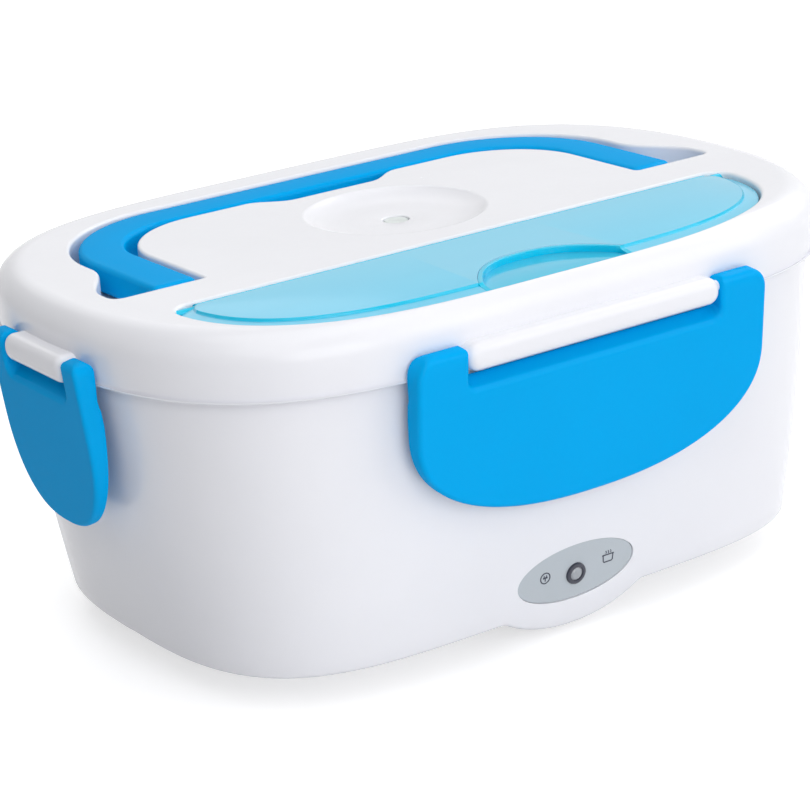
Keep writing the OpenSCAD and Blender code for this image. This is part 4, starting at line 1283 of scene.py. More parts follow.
@dataclass(frozen=True)
class LatchSize:
    """The sizes in which the long and the short latches differ."""

    width: float
    ear: float
    corner: float
    curve_height: float
    curve_power: float
    hook: float


LONG_LATCH = LatchSize(113.0, 15.5, 6.0, 28.0, 2.3, 64.0)
SHORT_LATCH = LatchSize(49.0, 8.0, 3.6, 30.0, 2.45, 22.0)


class Face(Enum):
    """The four sides that carry a latch."""

    FRONT = ("latch_front", LONG_LATCH, 0.0, 1)
    BACK = ("latch_back", LONG_LATCH, 180.0, 1)
    LEFT = ("latch_left", SHORT_LATCH, -90.0, 0)
    RIGHT = ("latch_right", SHORT_LATCH, 90.0, 0)

    def __init__(self, title: str, latch: LatchSize, turn: float, axis: int) -> None:
        """Keep the side's facts.

        Args:
            title: the name of its latch.
            latch: the latch's sizes.
            turn: the side's turn from the front, in degrees.
            axis: the axis that it faces along, 0 for x and 1 for y.
        """
        self.title = title
        self.latch = latch
        self.turn = turn
        self.axis = axis

    def place(self, form: BoxForm) -> Matrix:
        """Return the place of the latch's pivot, with its own -Y facing out.

        Args:
            form: the box's shared form.

        Returns:
            The matrix from the pivot to the frame.
        """
        out = form.lid_half[self.axis] + form.latch_reach
        turn = Matrix.Rotation(math.radians(self.turn), 4, "Z")
        return Matrix.Translation((0, 0, form.pivot_z)) @ turn @ Matrix.Translation((0, -out, 0))


@dataclass
class Latch:
    """A snap latch: two ears on the lid's rail and a hollow-backed plate."""

    form: BoxForm
    face: Face
    front: float = -3.0
    back: float = 3.0
    rim_back: float = 2.6
    reach_in: float = 4.2
    lean: float = 6.0
    plate: float = 2.4
    drop: float = 47.0
    window: float = -8.5
    window_lap: float = 0.3
    ledge_top: float = -3.0
    ledge_rise: float = 2.6
    rim_fade: float = 1.4
    rim_least: float = 0.08
    inner_corner: float = 1.8
    window_corner: float = 2.6
    rim: float = 1.8
    front_edge: float = 1.3
    back_edge: float = 0.7
    hollow_edge: float = 0.3
    guard: float = 0.35
    grid_step: float = 3.0
    hook_z: float = -25.6
    hook_thick: float = 2.0
    hook_round: float = 0.6

    def lower_curve(self, inset: float) -> list[Pair]:
        """Return the plate's sides and lower edge, drawn in by inset, from right to left.

        Args:
            inset: how far it is drawn in.

        Returns:
            The points, across and up from the pivot.
        """
        size = self.face.latch
        start = size.curve_height - self.drop + inset
        half, steps = size.width / 2 - inset, 60
        turns = np.linspace(math.pi / 2, -math.pi / 2, 2 * steps + 1)
        xs = half * signed_power(np.sin(turns), 2 / size.curve_power)
        zs = start - size.curve_height * np.cos(turns) ** (2 / size.curve_power)
        return list(zip(xs.tolist(), zs.tolist()))

    def outline(self) -> Path:
        """Return the latch's front view.

        Returns:
            One point a row, across and up from the pivot.
        """
        size = self.face.latch
        half, inner = size.width / 2, size.width / 2 - size.ear
        corner = size.corner
        top = [
            (-half, self.back, corner),
            (-inner, self.back, self.inner_corner),
            (-inner, self.window, self.window_corner),
            (inner, self.window, self.window_corner),
            (inner, self.back, self.inner_corner),
            (half, self.back, corner),
        ]
        lower = [(x, z, 0.0) for x, z in self.lower_curve(0.0)]
        return rounded([*top, *lower], 1.6)[::-1]

    def hollow(self) -> Path:
        """Return the outline of the hollow in the latch's back.

        Returns:
            One point a row, across and up from the pivot.
        """
        half = self.face.latch.width / 2 - self.rim
        top = self.window - self.rim
        lower = [(x, z, 0.0) for x, z in self.lower_curve(self.rim)]
        return rounded([(-half, top, 1.0), (half, top, 1.0), *lower], 1.6)[::-1]

    def shaped(self, points: np.ndarray) -> np.ndarray:
        """Round the ears' tops, slope the ledge and keep the back clear of the body.

        Args:
            points: points across, up and back from the pivot.

        Returns:
            The points in x, y and z.
        """
        x, z, depth = points[:, 0], points[:, 1], points[:, 2]
        inner = self.face.latch.width / 2 - self.face.latch.ear
        share = np.clip((depth - self.front) / (self.back - self.front), 0, 1)
        inside = np.clip((inner + 1.0 - np.abs(x)) / 1.0, 0, 1)
        up = np.clip((self.ledge_top - z) / (self.ledge_top - self.window), 0, 1)
        up *= z > self.window - self.window_lap
        lifted = z + self.ledge_rise * share * inside * up
        lean = math.radians(self.lean)
        ear_back = (self.back + np.minimum(z, 0) * math.sin(lean)) / math.cos(lean)
        rim_back = (self.reach_in + z * math.sin(lean)) / math.cos(lean)
        floor = self.front + self.plate
        rim_back = np.clip(rim_back, floor + self.rim_least, self.rim_back)
        lower = np.clip((self.window - self.window_lap - z) / self.rim_fade, 0, 1)
        limit = ear_back * (1 - lower) + rim_back * lower
        behind = np.clip(depth - floor, 0, None)
        depth = np.minimum(depth, floor) + behind * (limit - floor) / (self.back - floor)
        radius = np.hypot(lifted, depth)
        outside = (lifted > 0) & (radius > self.back)
        crown = np.where(outside, self.back / np.maximum(radius, 0.1), 1.0)
        return np.stack([x, depth * crown, lifted * crown], axis=1)

    def grid(self, outline: Path, inset: float) -> np.ndarray:
        """Return evenly spaced points inside an outline, drawn in by inset.

        Args:
            outline: the outline.
            inset: how far the points stay inside it.

        Returns:
            One point a row.
        """
        low, high = outline.min(axis=0), outline.max(axis=0)
        xs, zs = (np.arange(a + 1.3, b, self.grid_step) for a, b in zip(low, high))
        points = np.stack(np.meshgrid(xs, zs), -1).reshape(-1, 2)
        return points[within(grown(outline, -inset), points)]

    def leaned(self, points: np.ndarray) -> np.ndarray:
        """Lean points in towards the body, about the latch's pivot."""
        return turned(Matrix.Rotation(math.radians(self.lean), 4, "X"))(points)

    def shell(self) -> Shell:
        """Return the latch about its pivot.

        Returns:
            The shell, leaned in and with its hook.
        """
        made = Shell()
        outline = self.outline()
        edge = self.front_edge
        rings = [made.ring(grown(outline, -edge - self.guard), self.front)]
        for across, down in arc_steps(6)[::-1]:
            rings.append(made.ring(grown(outline, -edge * across), self.front + edge * down))
        rings[1:] = sorted(rings[1:], key=lambda ring: made.points[ring[0]][2])
        for depth in (0.0, 0.8, 1.5):
            rings.append(made.ring(outline, depth))
        for across, down in arc_steps(3):
            back = self.back - self.back_edge * across
            rings.append(made.ring(grown(outline, -self.back_edge * down), back))
        made.stack(rings)
        made.fill(rings[0], extra=self.grid(outline, edge + self.guard + 1.0))
        hollow = self.hollow()
        floor = self.front + self.plate
        inner = []
        for across, down in arc_steps(3):
            back = self.back - self.hollow_edge * across
            inner.append(made.ring(grown(hollow, self.hollow_edge * down), back))
        inner.append(made.ring(hollow, floor + 0.8))
        inner.append(made.ring(grown(hollow, -0.8), floor))
        made.fill(rings[-1], [inner[0]])
        made.stack(inner)
        made.fill(inner[-1], extra=self.grid(hollow, 2.0))
        return made.moved(self.shaped).moved(self.leaned).add(self.hook())

    def hook(self) -> Shell:
        """Return the bar that hooks under the body's rib.

        Returns:
            The bar, about the latch's pivot.
        """
        made = Shell()
        half, lean = self.face.latch.hook / 2 - 1, math.radians(self.lean)
        root = (self.front + self.plate / 2) * math.cos(lean)
        root -= self.hook_z * math.sin(lean)
        corners = [(half, root), (half, self.reach_in), (-half, self.reach_in), (-half, root)]
        outline = rounded([(x, y, self.hook_round) for x, y in corners], 4.0)
        made.slab(outline, self.hook_z, self.hook_z + self.hook_thick, 0.4, 0.4)
        return made

    def build(self) -> None:
        """Make the latch."""
        name = self.face.title
        shell = self.shell().moved(turned(self.face.place(self.form)))
        place_piece(name + "_plate", shell, Look.BLUE, name, [name], BLUE_SHARP)


# ---- Handle ----


@dataclass
class Handle:
    """The U-shaped carrying handle that folds into the lid."""

    half: float = 86.7
    back: float = 61.0
    bar: float = 13.0
    thick: float = 8.0
    corner: float = 37.0
    pivot: Pair = (-6.3, 100.8)
    edge: float = 1.5
    end_edge: float = 3.0
    panel_half: float = 72.5
    pin_in: float = 3.5
    pin_radius: float = 2.0
    end_taper: float = 1.6
    bend_steps: int = 24

    def section(self, width: float, height: float) -> np.ndarray:
        """Return the bar's cross-section: across it and up it.

        Args:
            width: the bar's width.
            height: the bar's height.

        Returns:
            One point a row.
        """
        edge = min(self.edge, height * 0.49, width * 0.49)
        w, h = width / 2, height / 2
        corners = [(w, -h), (w, h), (-w, h), (-w, -h)]
        points = []
        for k, (x, z) in enumerate(corners):
            cx, cz = x - math.copysign(edge, x), z - math.copysign(edge, z)
            for turn in range(0, 91, 15):
                angle = math.radians(-90 + 90 * k + turn)
                points.append((cx + edge * math.cos(angle), cz + edge * math.sin(angle)))
        return np.array(points)

    def shell(self) -> Shell:
        """Return the handle in place.

        Returns:
            The bar with its two pins.
        """
        made = Shell()
        arm, bend = self.half - self.bar / 2, self.corner - self.bar / 2
        pivot_y, pivot_z = self.pivot
        end_y = pivot_y - self.thick / 2
        bend_x, bend_y = self.half - self.corner, self.back - self.corner
        end, taper = self.end_edge, self.end_taper
        stations: list[tuple[float, float, float, float, float]] = []
        for across, down in arc_steps(6)[::-1]:
            stations.append((arm, end_y + end * across, 0.0, taper * down, end * down))
        stations.sort(key=lambda s: s[1])
        ys = np.linspace(end_y + end + 1, bend_y - 1, 8)
        stations += [(arm, y, 0.0, 0.0, 0.0) for y in ys]
        for k in range(self.bend_steps + 1):
            turn = math.pi / 2 * k / self.bend_steps
            x, y = bend_x + bend * math.cos(turn), bend_y + bend * math.sin(turn)
            stations.append((x, y, turn, 0.0, 0.0))
        xs, back = np.linspace(bend_x - 5, 0, 9), self.back - self.bar / 2
        stations += [(x, back, math.pi / 2, 0.0, 0.0) for x in xs]
        mirrored = [(-x, y, math.pi - turn, w, h) for x, y, turn, w, h in reversed(stations[:-1])]
        rings = []
        for x, y, turn, narrower, lower in [*stations, *mirrored]:
            cut = self.section(self.bar - 2 * narrower, self.thick - 2 * lower)
            xs, ys = x + cut[:, 0] * math.cos(turn), y + cut[:, 0] * math.sin(turn)
            rings.append(made.ring(np.stack([xs, ys], axis=1), pivot_z + cut[:, 1]))
        made.stack(rings)
        made.faces.append(tuple(rings[0]))
        made.faces.append(tuple(reversed(rings[-1])))
        root, tip, radius = self.half - self.bar + 1, self.panel_half - self.pin_in, self.pin_radius
        for side in (-1, 1):
            pin = Shell()
            pin.lathe([(0, tip), (radius, tip), (radius, root), (0, root)], 32)
            pin.moved(lambda p, s=side: np.stack([s * p[:, 2], p[:, 0], p[:, 1]], axis=1))
            made.add(pin.moved(lambda p: p + (0, pivot_y, pivot_z)))
        return made

    def build(self) -> None:
        """Make the handle."""
        shell = self.shell()
        place_piece(
            "handle_bar", shell, Look.BLUE, "handle", ["handle"], BLUE_SHARP
        )


# ---- Spoon bay ----


@dataclass
class SpoonBay:
    """The tinted cover over the spoon, and the spoon."""

    x: float = -3.0
    half: float = 90.5
    depth: float = 42.9
    hinge_y: float = -30.6
    top_z: float = 105.0
    lip_top: float = 104.25
    lip_edge: float = 103.6
    low: float = 102.2
    under: float = 103.2
    seam: float = 4.0
    barrel: float = 1.6
    barrel_z: float = 103.4
    pin: float = 1.1
    pin_reach: float = 92.7
    barrel_half: float = 84.0
    corner: float = 7.6
    notch_half: float = 22.0
    notch_y: float = -69.5
    notch_depth: float = 14.0
    notch_power: float = 2.6
    tab: Pair = (102.0, 103.2)
    tab_lap: float = 0.6
    band: float = 1.5
    bead_span: tuple[int, int] = (5, 156)
    spoon_length: float = 152.0
    spoon_y: float = -49.6
    spoon_z: float = 99.52
    bowl: float = 15.5
    neck: float = 3.2
    grip: float = 6.5
    deep: float = 3.4
    steel: float = 1.2
    bowl_share: float = 0.32
    dish_share: float = 0.34
    tip_share: float = 0.035
    grip_lift: float = 0.7
    spoon_steps: int = 90
    spoon_across: int = 24

    def outline(self, inset: float) -> Path:
        """Return the cover's outline, drawn in by inset at its curved front.

        Args:
            inset: how far its front is drawn in.

        Returns:
            One point a row.
        """
        path = cover_outline(
            self.half - inset,
            self.depth - inset,
            self.hinge_y,
            self.hinge_y + self.barrel,
            self.corner,
            self.hinge_y,
        )
        back = self.hinge_y - 0.1 * inset
        path[:, 1] = np.minimum(path[:, 1], back)
        xs = np.linspace(path[-1][0], path[0][0], 60)[1:-1]
        return np.concatenate([path, np.stack([xs, np.full(len(xs), back)], axis=1)])

    def notch_arc(self, grow: float, count: int = 61) -> Path:
        """Return the curve of the finger notch from right to left, grown by grow.

        Args:
            grow: how far it is grown.
            count: how many points.

        Returns:
            One point a row.
        """
        s = np.linspace(1, -1, count)
        ys = self.notch_y + (self.notch_depth + grow) * (1 - np.abs(s) ** self.notch_power)
        return np.stack([(self.notch_half + grow) * s, ys], 1)

    def notch(self, grow: float) -> Path:
        """Return the outline of the finger notch, grown by grow."""
        half, low = self.notch_half + grow, self.notch_y - 6.0
        return np.concatenate([[(-half, low), (half, low)], self.notch_arc(grow)])

    def cover_shell(self) -> Shell:
        """Return the cover before its notch is cut.

        Returns:
            The closed shell.
        """
        made = Shell()
        low, edge, lip, seam, top = self.low, self.lip_edge, self.lip_top, self.seam, self.top_z
        levels = [
            (1.9, self.under), (1.6, low + 0.3), (1.3, low), (0.2, low), (0.0, low + 0.2),
            (0.0, edge - 0.4), (0.15, edge - 0.1), (0.5, edge),
            (seam - 0.6, lip - 0.05), (seam - 0.3, lip), (seam - 0.15, lip + 0.15),
            (seam, top - 0.25), (seam + 0.12, top - 0.07), (seam + 0.4, top),
        ]
        rings = [made.ring(self.outline(inset), z) for inset, z in levels]
        made.stack(rings)
        made.fill(rings[0])
        made.fill(rings[-1])
        return made

    def bead_shell(self) -> Shell:
        """Return the bead along the cover's step, from end to end round the front.

        Returns:
            The closed shell.
        """
        made = Shell()
        seam, lip, top = self.seam, self.lip_top, self.top_z
        section = [
            (seam + 0.15, lip - 0.3), (seam - 0.4, lip - 0.3), (seam - 0.4, lip + 0.04),
            (seam - 0.2, lip + 0.14), (seam - 0.06, top - 0.22), (seam + 0.06, top - 0.02),
            (seam + 0.15, top),
        ]
        paths = [self.outline(inset)[slice(*self.bead_span)] for inset, _ in section]
        rings = []
        for step in range(len(paths[0])):
            rings.append([len(made.points) + i for i in range(len(section))])
            made.points.extend((*path[step].tolist(), z) for path, (_, z) in zip(paths, section))
        made.stack(rings)
        made.faces.append(tuple(rings[0]))
        made.faces.append(tuple(reversed(rings[-1])))
        return made

    def cutter_shell(self) -> Shell:
        """Return the block that cuts the cover's notch.

        Returns:
            The closed shell.
        """
        made = Shell()
        outline = self.notch(self.band + 0.02)
        rings = [made.ring(outline, self.low - 2), made.ring(outline, self.top_z + 2)]
        made.stack(rings)
        made.fill(rings[0])
        made.fill(rings[-1])
        return made

    def band_shell(self) -> Shell:
        """Return the thick band round the notch.

        Returns:
            The closed shell.
        """
        made = Shell()
        end, loops = self.hinge_y - self.depth + 0.5, []
        for grow in (self.band, 0.0):
            half = self.notch_half + grow
            ys = np.linspace(end, self.notch_y, 6)[:-1]
            leg = np.stack([np.full(5, half), ys], axis=1)
            loops.append(np.concatenate([leg, self.notch_arc(grow), leg[::-1] * (-1, 1)]))
        outline = np.concatenate([loops[0], loops[1][::-1]])
        made.slab(outline, self.low + 0.4, self.top_z, 0.1, 0.25, 3)
        ys = (end, self.notch_y - 0.4, self.notch_y)
        tops = (self.lip_edge + 0.04, self.lip_top + 0.04, self.top_z)

        def lowered(points: np.ndarray) -> np.ndarray:
            """Keep the band's two legs down on the cover's lip."""
            x, y, z = points.T
            return np.stack([x, y, np.minimum(z, np.interp(y, ys, tops))], axis=1)

        return made.moved(lowered)

    def tab_shell(self) -> Shell:
        """Return the lower tab that fills the notch.

        Returns:
            The closed shell.
        """
        made = Shell()
        count, half = 49, self.notch_half + self.tab_lap
        back = self.notch_arc(self.tab_lap, count)
        xs = np.linspace(-half, half, count)
        p, q = COVER_POWERS
        front_y = self.hinge_y - self.depth * (1 - np.abs(xs / self.half) ** p) ** (1 / q)
        outline = np.concatenate([np.stack([xs, front_y], 1), back[1:-1]])
        made.slab(divided(outline, 2.0), self.tab[0], self.tab[1], 0.15, 0.3, 3)
        return made

    def barrel_shell(self) -> Shell:
        """Return the hinge barrel with its two pins.

        Returns:
            The closed shell.
        """
        made = Shell()
        tip, shoulder = self.pin_reach, self.barrel_half
        ends = [(0, -tip), (self.pin, -tip), (self.pin, -shoulder), (self.barrel, -shoulder)]
        made.lathe([*ends, *[(r, -x) for r, x in reversed(ends)]], 32)
        y, z = self.hinge_y, self.barrel_z
        return made.moved(lambda p: np.stack([p[:, 2], p[:, 0] + y, p[:, 1] + z], axis=1))

    def spoon_half(self, s: float) -> float:
        """Return the spoon's half width at a share of its length, from the bowl's tip.

        Args:
            s: the share, from 0 at the bowl's tip to 1.

        Returns:
            The half width.
        """
        bowl = self.bowl_share
        if s < bowl:
            half = self.bowl * math.sin(math.pi * min(1, (s + 0.012) / 0.36)) ** 0.62 + 0.4
        else:
            half = self.neck + (self.grip - self.neck) * ((s - bowl) / (1 - bowl)) ** 1.6
        half = max(self.neck, half)
        for reach in (s, 1 - s):
            near = min(1.0, reach / self.tip_share)
            half *= math.sqrt(max(0.02, 1 - (1 - near) ** 2))
        return half

    def spoon_shell(self) -> Shell:
        """Return the spoon, lying along X with its bowl at the left.

        Returns:
            The closed shell.
        """
        made = Shell()
        count, across, dished = self.spoon_steps, self.spoon_across, self.dish_share
        rings = []
        for k in range(count + 1):
            s = k / count
            half = self.spoon_half(s)
            dish = self.deep * math.sin(math.pi * s / dished) ** 0.8 if s < dished else 0.0
            dish *= min(1.0, half / self.bowl)
            lift = self.grip_lift * math.sin(math.pi / 2 * max(0, s - dished) / (1 - dished)) ** 2
            u = np.cos(np.pi * (np.arange(across) + 0.5) / across)
            low = lift + (dish + 0.15) * (u ** 2 - 1)
            skirt = self.steel * np.sqrt(np.clip(1 - np.abs(u) ** 14, 0, 1))
            xs = np.full(across, s * self.spoon_length)
            points = np.concatenate([
                np.stack([xs, u * half, low], 1),
                np.stack([xs, u * half, low + skirt], 1)[::-1],
            ])
            rings.append([len(made.points) + i for i in range(len(points))])
            made.points.extend(tuple(p) for p in points)
        made.stack(rings)
        made.faces.append(tuple(rings[0]))
        made.faces.append(tuple(reversed(rings[-1])))
        place = np.array([-self.spoon_length / 2, self.spoon_y, self.spoon_z])
        return made.moved(lambda p: p + place)

    def build(self) -> None:
        """Make the cover and the spoon."""
        shift = turned(Matrix.Translation((self.x, 0, 0)))

        def piece(
            name: str, shell: Shell, look: Look, nodes: Sequence[str] = (), sharp: float = SHARP
        ) -> bpy.types.Object:
            """Place a piece that rides on the cover."""
            shell.moved(shift)
            return place_piece(name, shell, look, "spoon_cover", nodes, sharp)

        cutter = self.cutter_shell().moved(shift)
        shell = self.cover_shell()
        plate = piece("spoon_cover_plate", shell, Look.COVER, ["spoon_cover"], CUT_SHARP)
        cut(plate, cutter)
        # The bead, the notch band and the hinge carry painted edge shade: a deeper cyan that stands
        # in for light passing through the cover's thick edges.
        cut(piece("spoon_cover_bead", self.bead_shell(), Look.COVER_EDGE_SHADE), cutter)
        piece("spoon_cover_band", self.band_shell(), Look.COVER_EDGE_SHADE)
        piece("spoon_cover_tab", self.tab_shell(), Look.TAB)
        piece("spoon_cover_hinge", self.barrel_shell(), Look.COVER_EDGE_SHADE)
        spoon = self.spoon_shell().moved(shift)
        place_piece("spoon_blade", spoon, Look.SPOON, "lid", ["spoon"], SPOON_SHARP)


def cut(piece: bpy.types.Object, cutter: Shell) -> None:
    """Cut a closed shell out of a piece.

    Args:
        piece: the piece to cut.
        cutter: the shell to take out of it.
    """
    tool = bpy.data.objects.new("cutter", cutter.mesh("cutter"))
    bpy.context.scene.collection.objects.link(tool)
    change = piece.modifiers.new("cut", "BOOLEAN")
    change.operation, change.solver, change.object = "DIFFERENCE", "EXACT", tool
    graph = bpy.context.evaluated_depsgraph_get()
    made = bpy.data.meshes.new_from_object(piece.evaluated_get(graph))
    piece.modifiers.clear()
    old, piece.data = piece.data, made
    made.name = piece.name
    bpy.data.meshes.remove(old)
    tool_mesh = tool.data
    bpy.data.objects.remove(tool)
    bpy.data.meshes.remove(tool_mesh)
    made.set_sharp_from_angle(angle=math.radians(CUT_SHARP))


# ---- Body ----


@dataclass
class Body:
    """The outer body with its lamp pod, label recess, catch ribs and inlet pad."""

    form: BoxForm
    wall: float = 2.4
    edge: float = 1.4
    inner_z: float = 16.5
    foot_rises: Pair = (2.8, 0.6)
    foot_edge: float = 0.6
    pod_half: Pair = (28.9, 16.2)
    pod_z: float = 18.3
    pod_depth: float = 12.0
    label_half: Pair = (19.5, 8.1)
    label_sink: float = 0.8
    label_gap: float = 0.12
    soft: float = 0.35
    pod_reach: float = 23.4
    rim_edge: float = 0.5
    shares: tuple[float, ...] = (0.05, 0.1, 0.2, 0.35, 0.5, 0.65, 0.8, 0.92)
    catch_z: float = 68.8
    catch_thick: float = 2.0
    catch_span: Pair = (4.5, 8.4)
    pad_half: Pair = (18.0, 11.0)
    pad_corner: float = 3.0
    pad_thick: float = 6.0
    inlet_z: float = 23.5

    def lower_edge(self, xs: np.ndarray, ys: np.ndarray) -> np.ndarray:
        """Return the height of the body's lower edge, which dips round the pod.

        Args:
            xs: x of the outline's points.
            ys: their y.

        Returns:
            One height a point.
        """
        half, tall = self.pod_half
        inside = np.clip(1 - (xs / half) ** 2, 0, 1)
        dip = self.pod_z - tall * np.sqrt(inside)
        dip = np.where(ys < 0, dip, self.form.lower_z)
        soft = self.soft
        return -soft * np.log(np.exp(-dip / soft) + np.exp(-self.form.lower_z / soft))

    def shell(self) -> Shell:
        """Return the body's closed shell, before the label's recess is cut.

        Returns:
            The closed shell.
        """
        form = self.form
        made = Shell()
        base = form.body_ring(0, form.lower_z)
        low = self.lower_edge(base[:, 0], base[:, 1])
        pod = (np.abs(base[:, 0]) < self.pod_reach) & (base[:, 1] < 0)
        angles = form.angles().tolist()
        rings = []

        def at(inset: Any, share: float, lift: float) -> list[int]:
            """Add a ring between the lower edge and the rim.

            Args:
                inset: how far it is drawn in, as a number or one for each point.
                share: how far up from the lower edge, from 0 to 1.
                lift: what to add to its height.

            Returns:
                The ring's point numbers.
            """
            z = low + (form.rim_z - low) * share + lift
            insets = np.broadcast_to(inset, len(z))
            flat = np.zeros((len(z), 2))
            for k, height in enumerate(z):
                flat[k] = self.point(angles[k], float(height), float(insets[k]))
            return made.ring(flat, z)

        thick = np.where(pod, self.pod_depth, self.wall)
        rings.append(made.ring(form.body_ring(self.wall, form.rim_z), form.rim_z))
        rings.append(made.ring(form.body_ring(self.wall, self.inner_z), self.inner_z))
        for rise in self.foot_rises:
            rings.append(at(thick, 0.0, rise))
        rings.append(at(thick - self.foot_edge, 0.0, 0.0))
        for across, down in arc_steps(5):
            rings.append(at(self.edge * across, 0.0, self.edge * down))
        for share in self.shares:
            rings.append(at(0.0, share, self.edge * (1 - share)))
        for across, down in arc_steps(3)[::-1]:
            rings.append(at(self.rim_edge * down, 1.0, -self.rim_edge * across))
        made.stack(rings)
        made.bridge(rings[-1], rings[0])
        return made

    def point(self, angle: float, z: float, inset: float) -> Pair:
        """Return the body's outline point of one angle at a height, drawn in by inset.

        Args:
            angle: the point's angle, in radians.
            z: the height.
            inset: how far it is drawn in.

        Returns:
            Its x and y.
        """
        form = self.form
        rise = (z - form.lower_z) / (form.rim_z - form.lower_z)
        share = min(1.0, max(0.0, rise))
        px, py = (f + (l - f) * share for f, l in zip(form.foot_powers, form.lid_powers))
        a, b = form.body_half(z)
        c, s = math.cos(angle), math.sin(angle)
        return (
            (a - inset) * math.copysign(abs(c) ** (2 / px), c),
            (b - inset) * math.copysign(abs(s) ** (2 / py), s),
        )

    def catches(self) -> Shell:
        """Return the four ribs that the latches' hooks go under.

        Returns:
            The four ribs in one shell.
        """
        made = Shell()
        out, root = self.catch_span
        low, high = (z - self.form.pivot_z for z in (self.catch_z, self.catch_z + self.catch_thick))
        for face in Face:
            half = face.latch.hook / 2
            rib = Shell()
            bar = [(half, out, 0.8), (half, root, 0), (-half, root, 0), (-half, out, 0.8)]
            rib.slab(rounded(bar, 4.0), low, high, 0.3, 0.7)
            made.add(rib.moved(turned(face.place(self.form))))
        return made

    def pad(self) -> Shell:
        """Return the flat pad that carries the supply inlet.

        Returns:
            The closed shell.
        """
        made = Shell()
        half, tall = self.pad_half
        y = self.form.body_half(self.inlet_z + tall)[1]
        corners = [(half, -tall), (half, tall), (-half, tall), (-half, -tall)]
        outline = rounded([(x, z, self.pad_corner) for x, z in corners], 2.0)
        made.slab(outline, y - self.pad_thick, y, 0.1, 0.7)
        return made.moved(lambda p: np.stack([p[:, 0], p[:, 2], self.inlet_z - p[:, 1]], axis=1))

    def build(self) -> None:
        """Make the body."""
        shell = self.shell().add(self.catches()).add(self.pad())
        piece = place_piece(
            "body_skin", shell, Look.WHITE, "base", ["body_shell"], CUT_SHARP
        )
        cutter = Shell()
        outline = grown(circle(1.0, 120) * self.label_half, self.label_gap)
        low, high = cutter.ring(outline, -self.label_sink), cutter.ring(outline, 3.0)
        cutter.bridge(low, high)
        cutter.fill(low)
        cutter.fill(high)
        cut(piece, cutter.moved(turned(self.form.on_front_wall(self.pod_z))))


# ---- Lamp panel ----


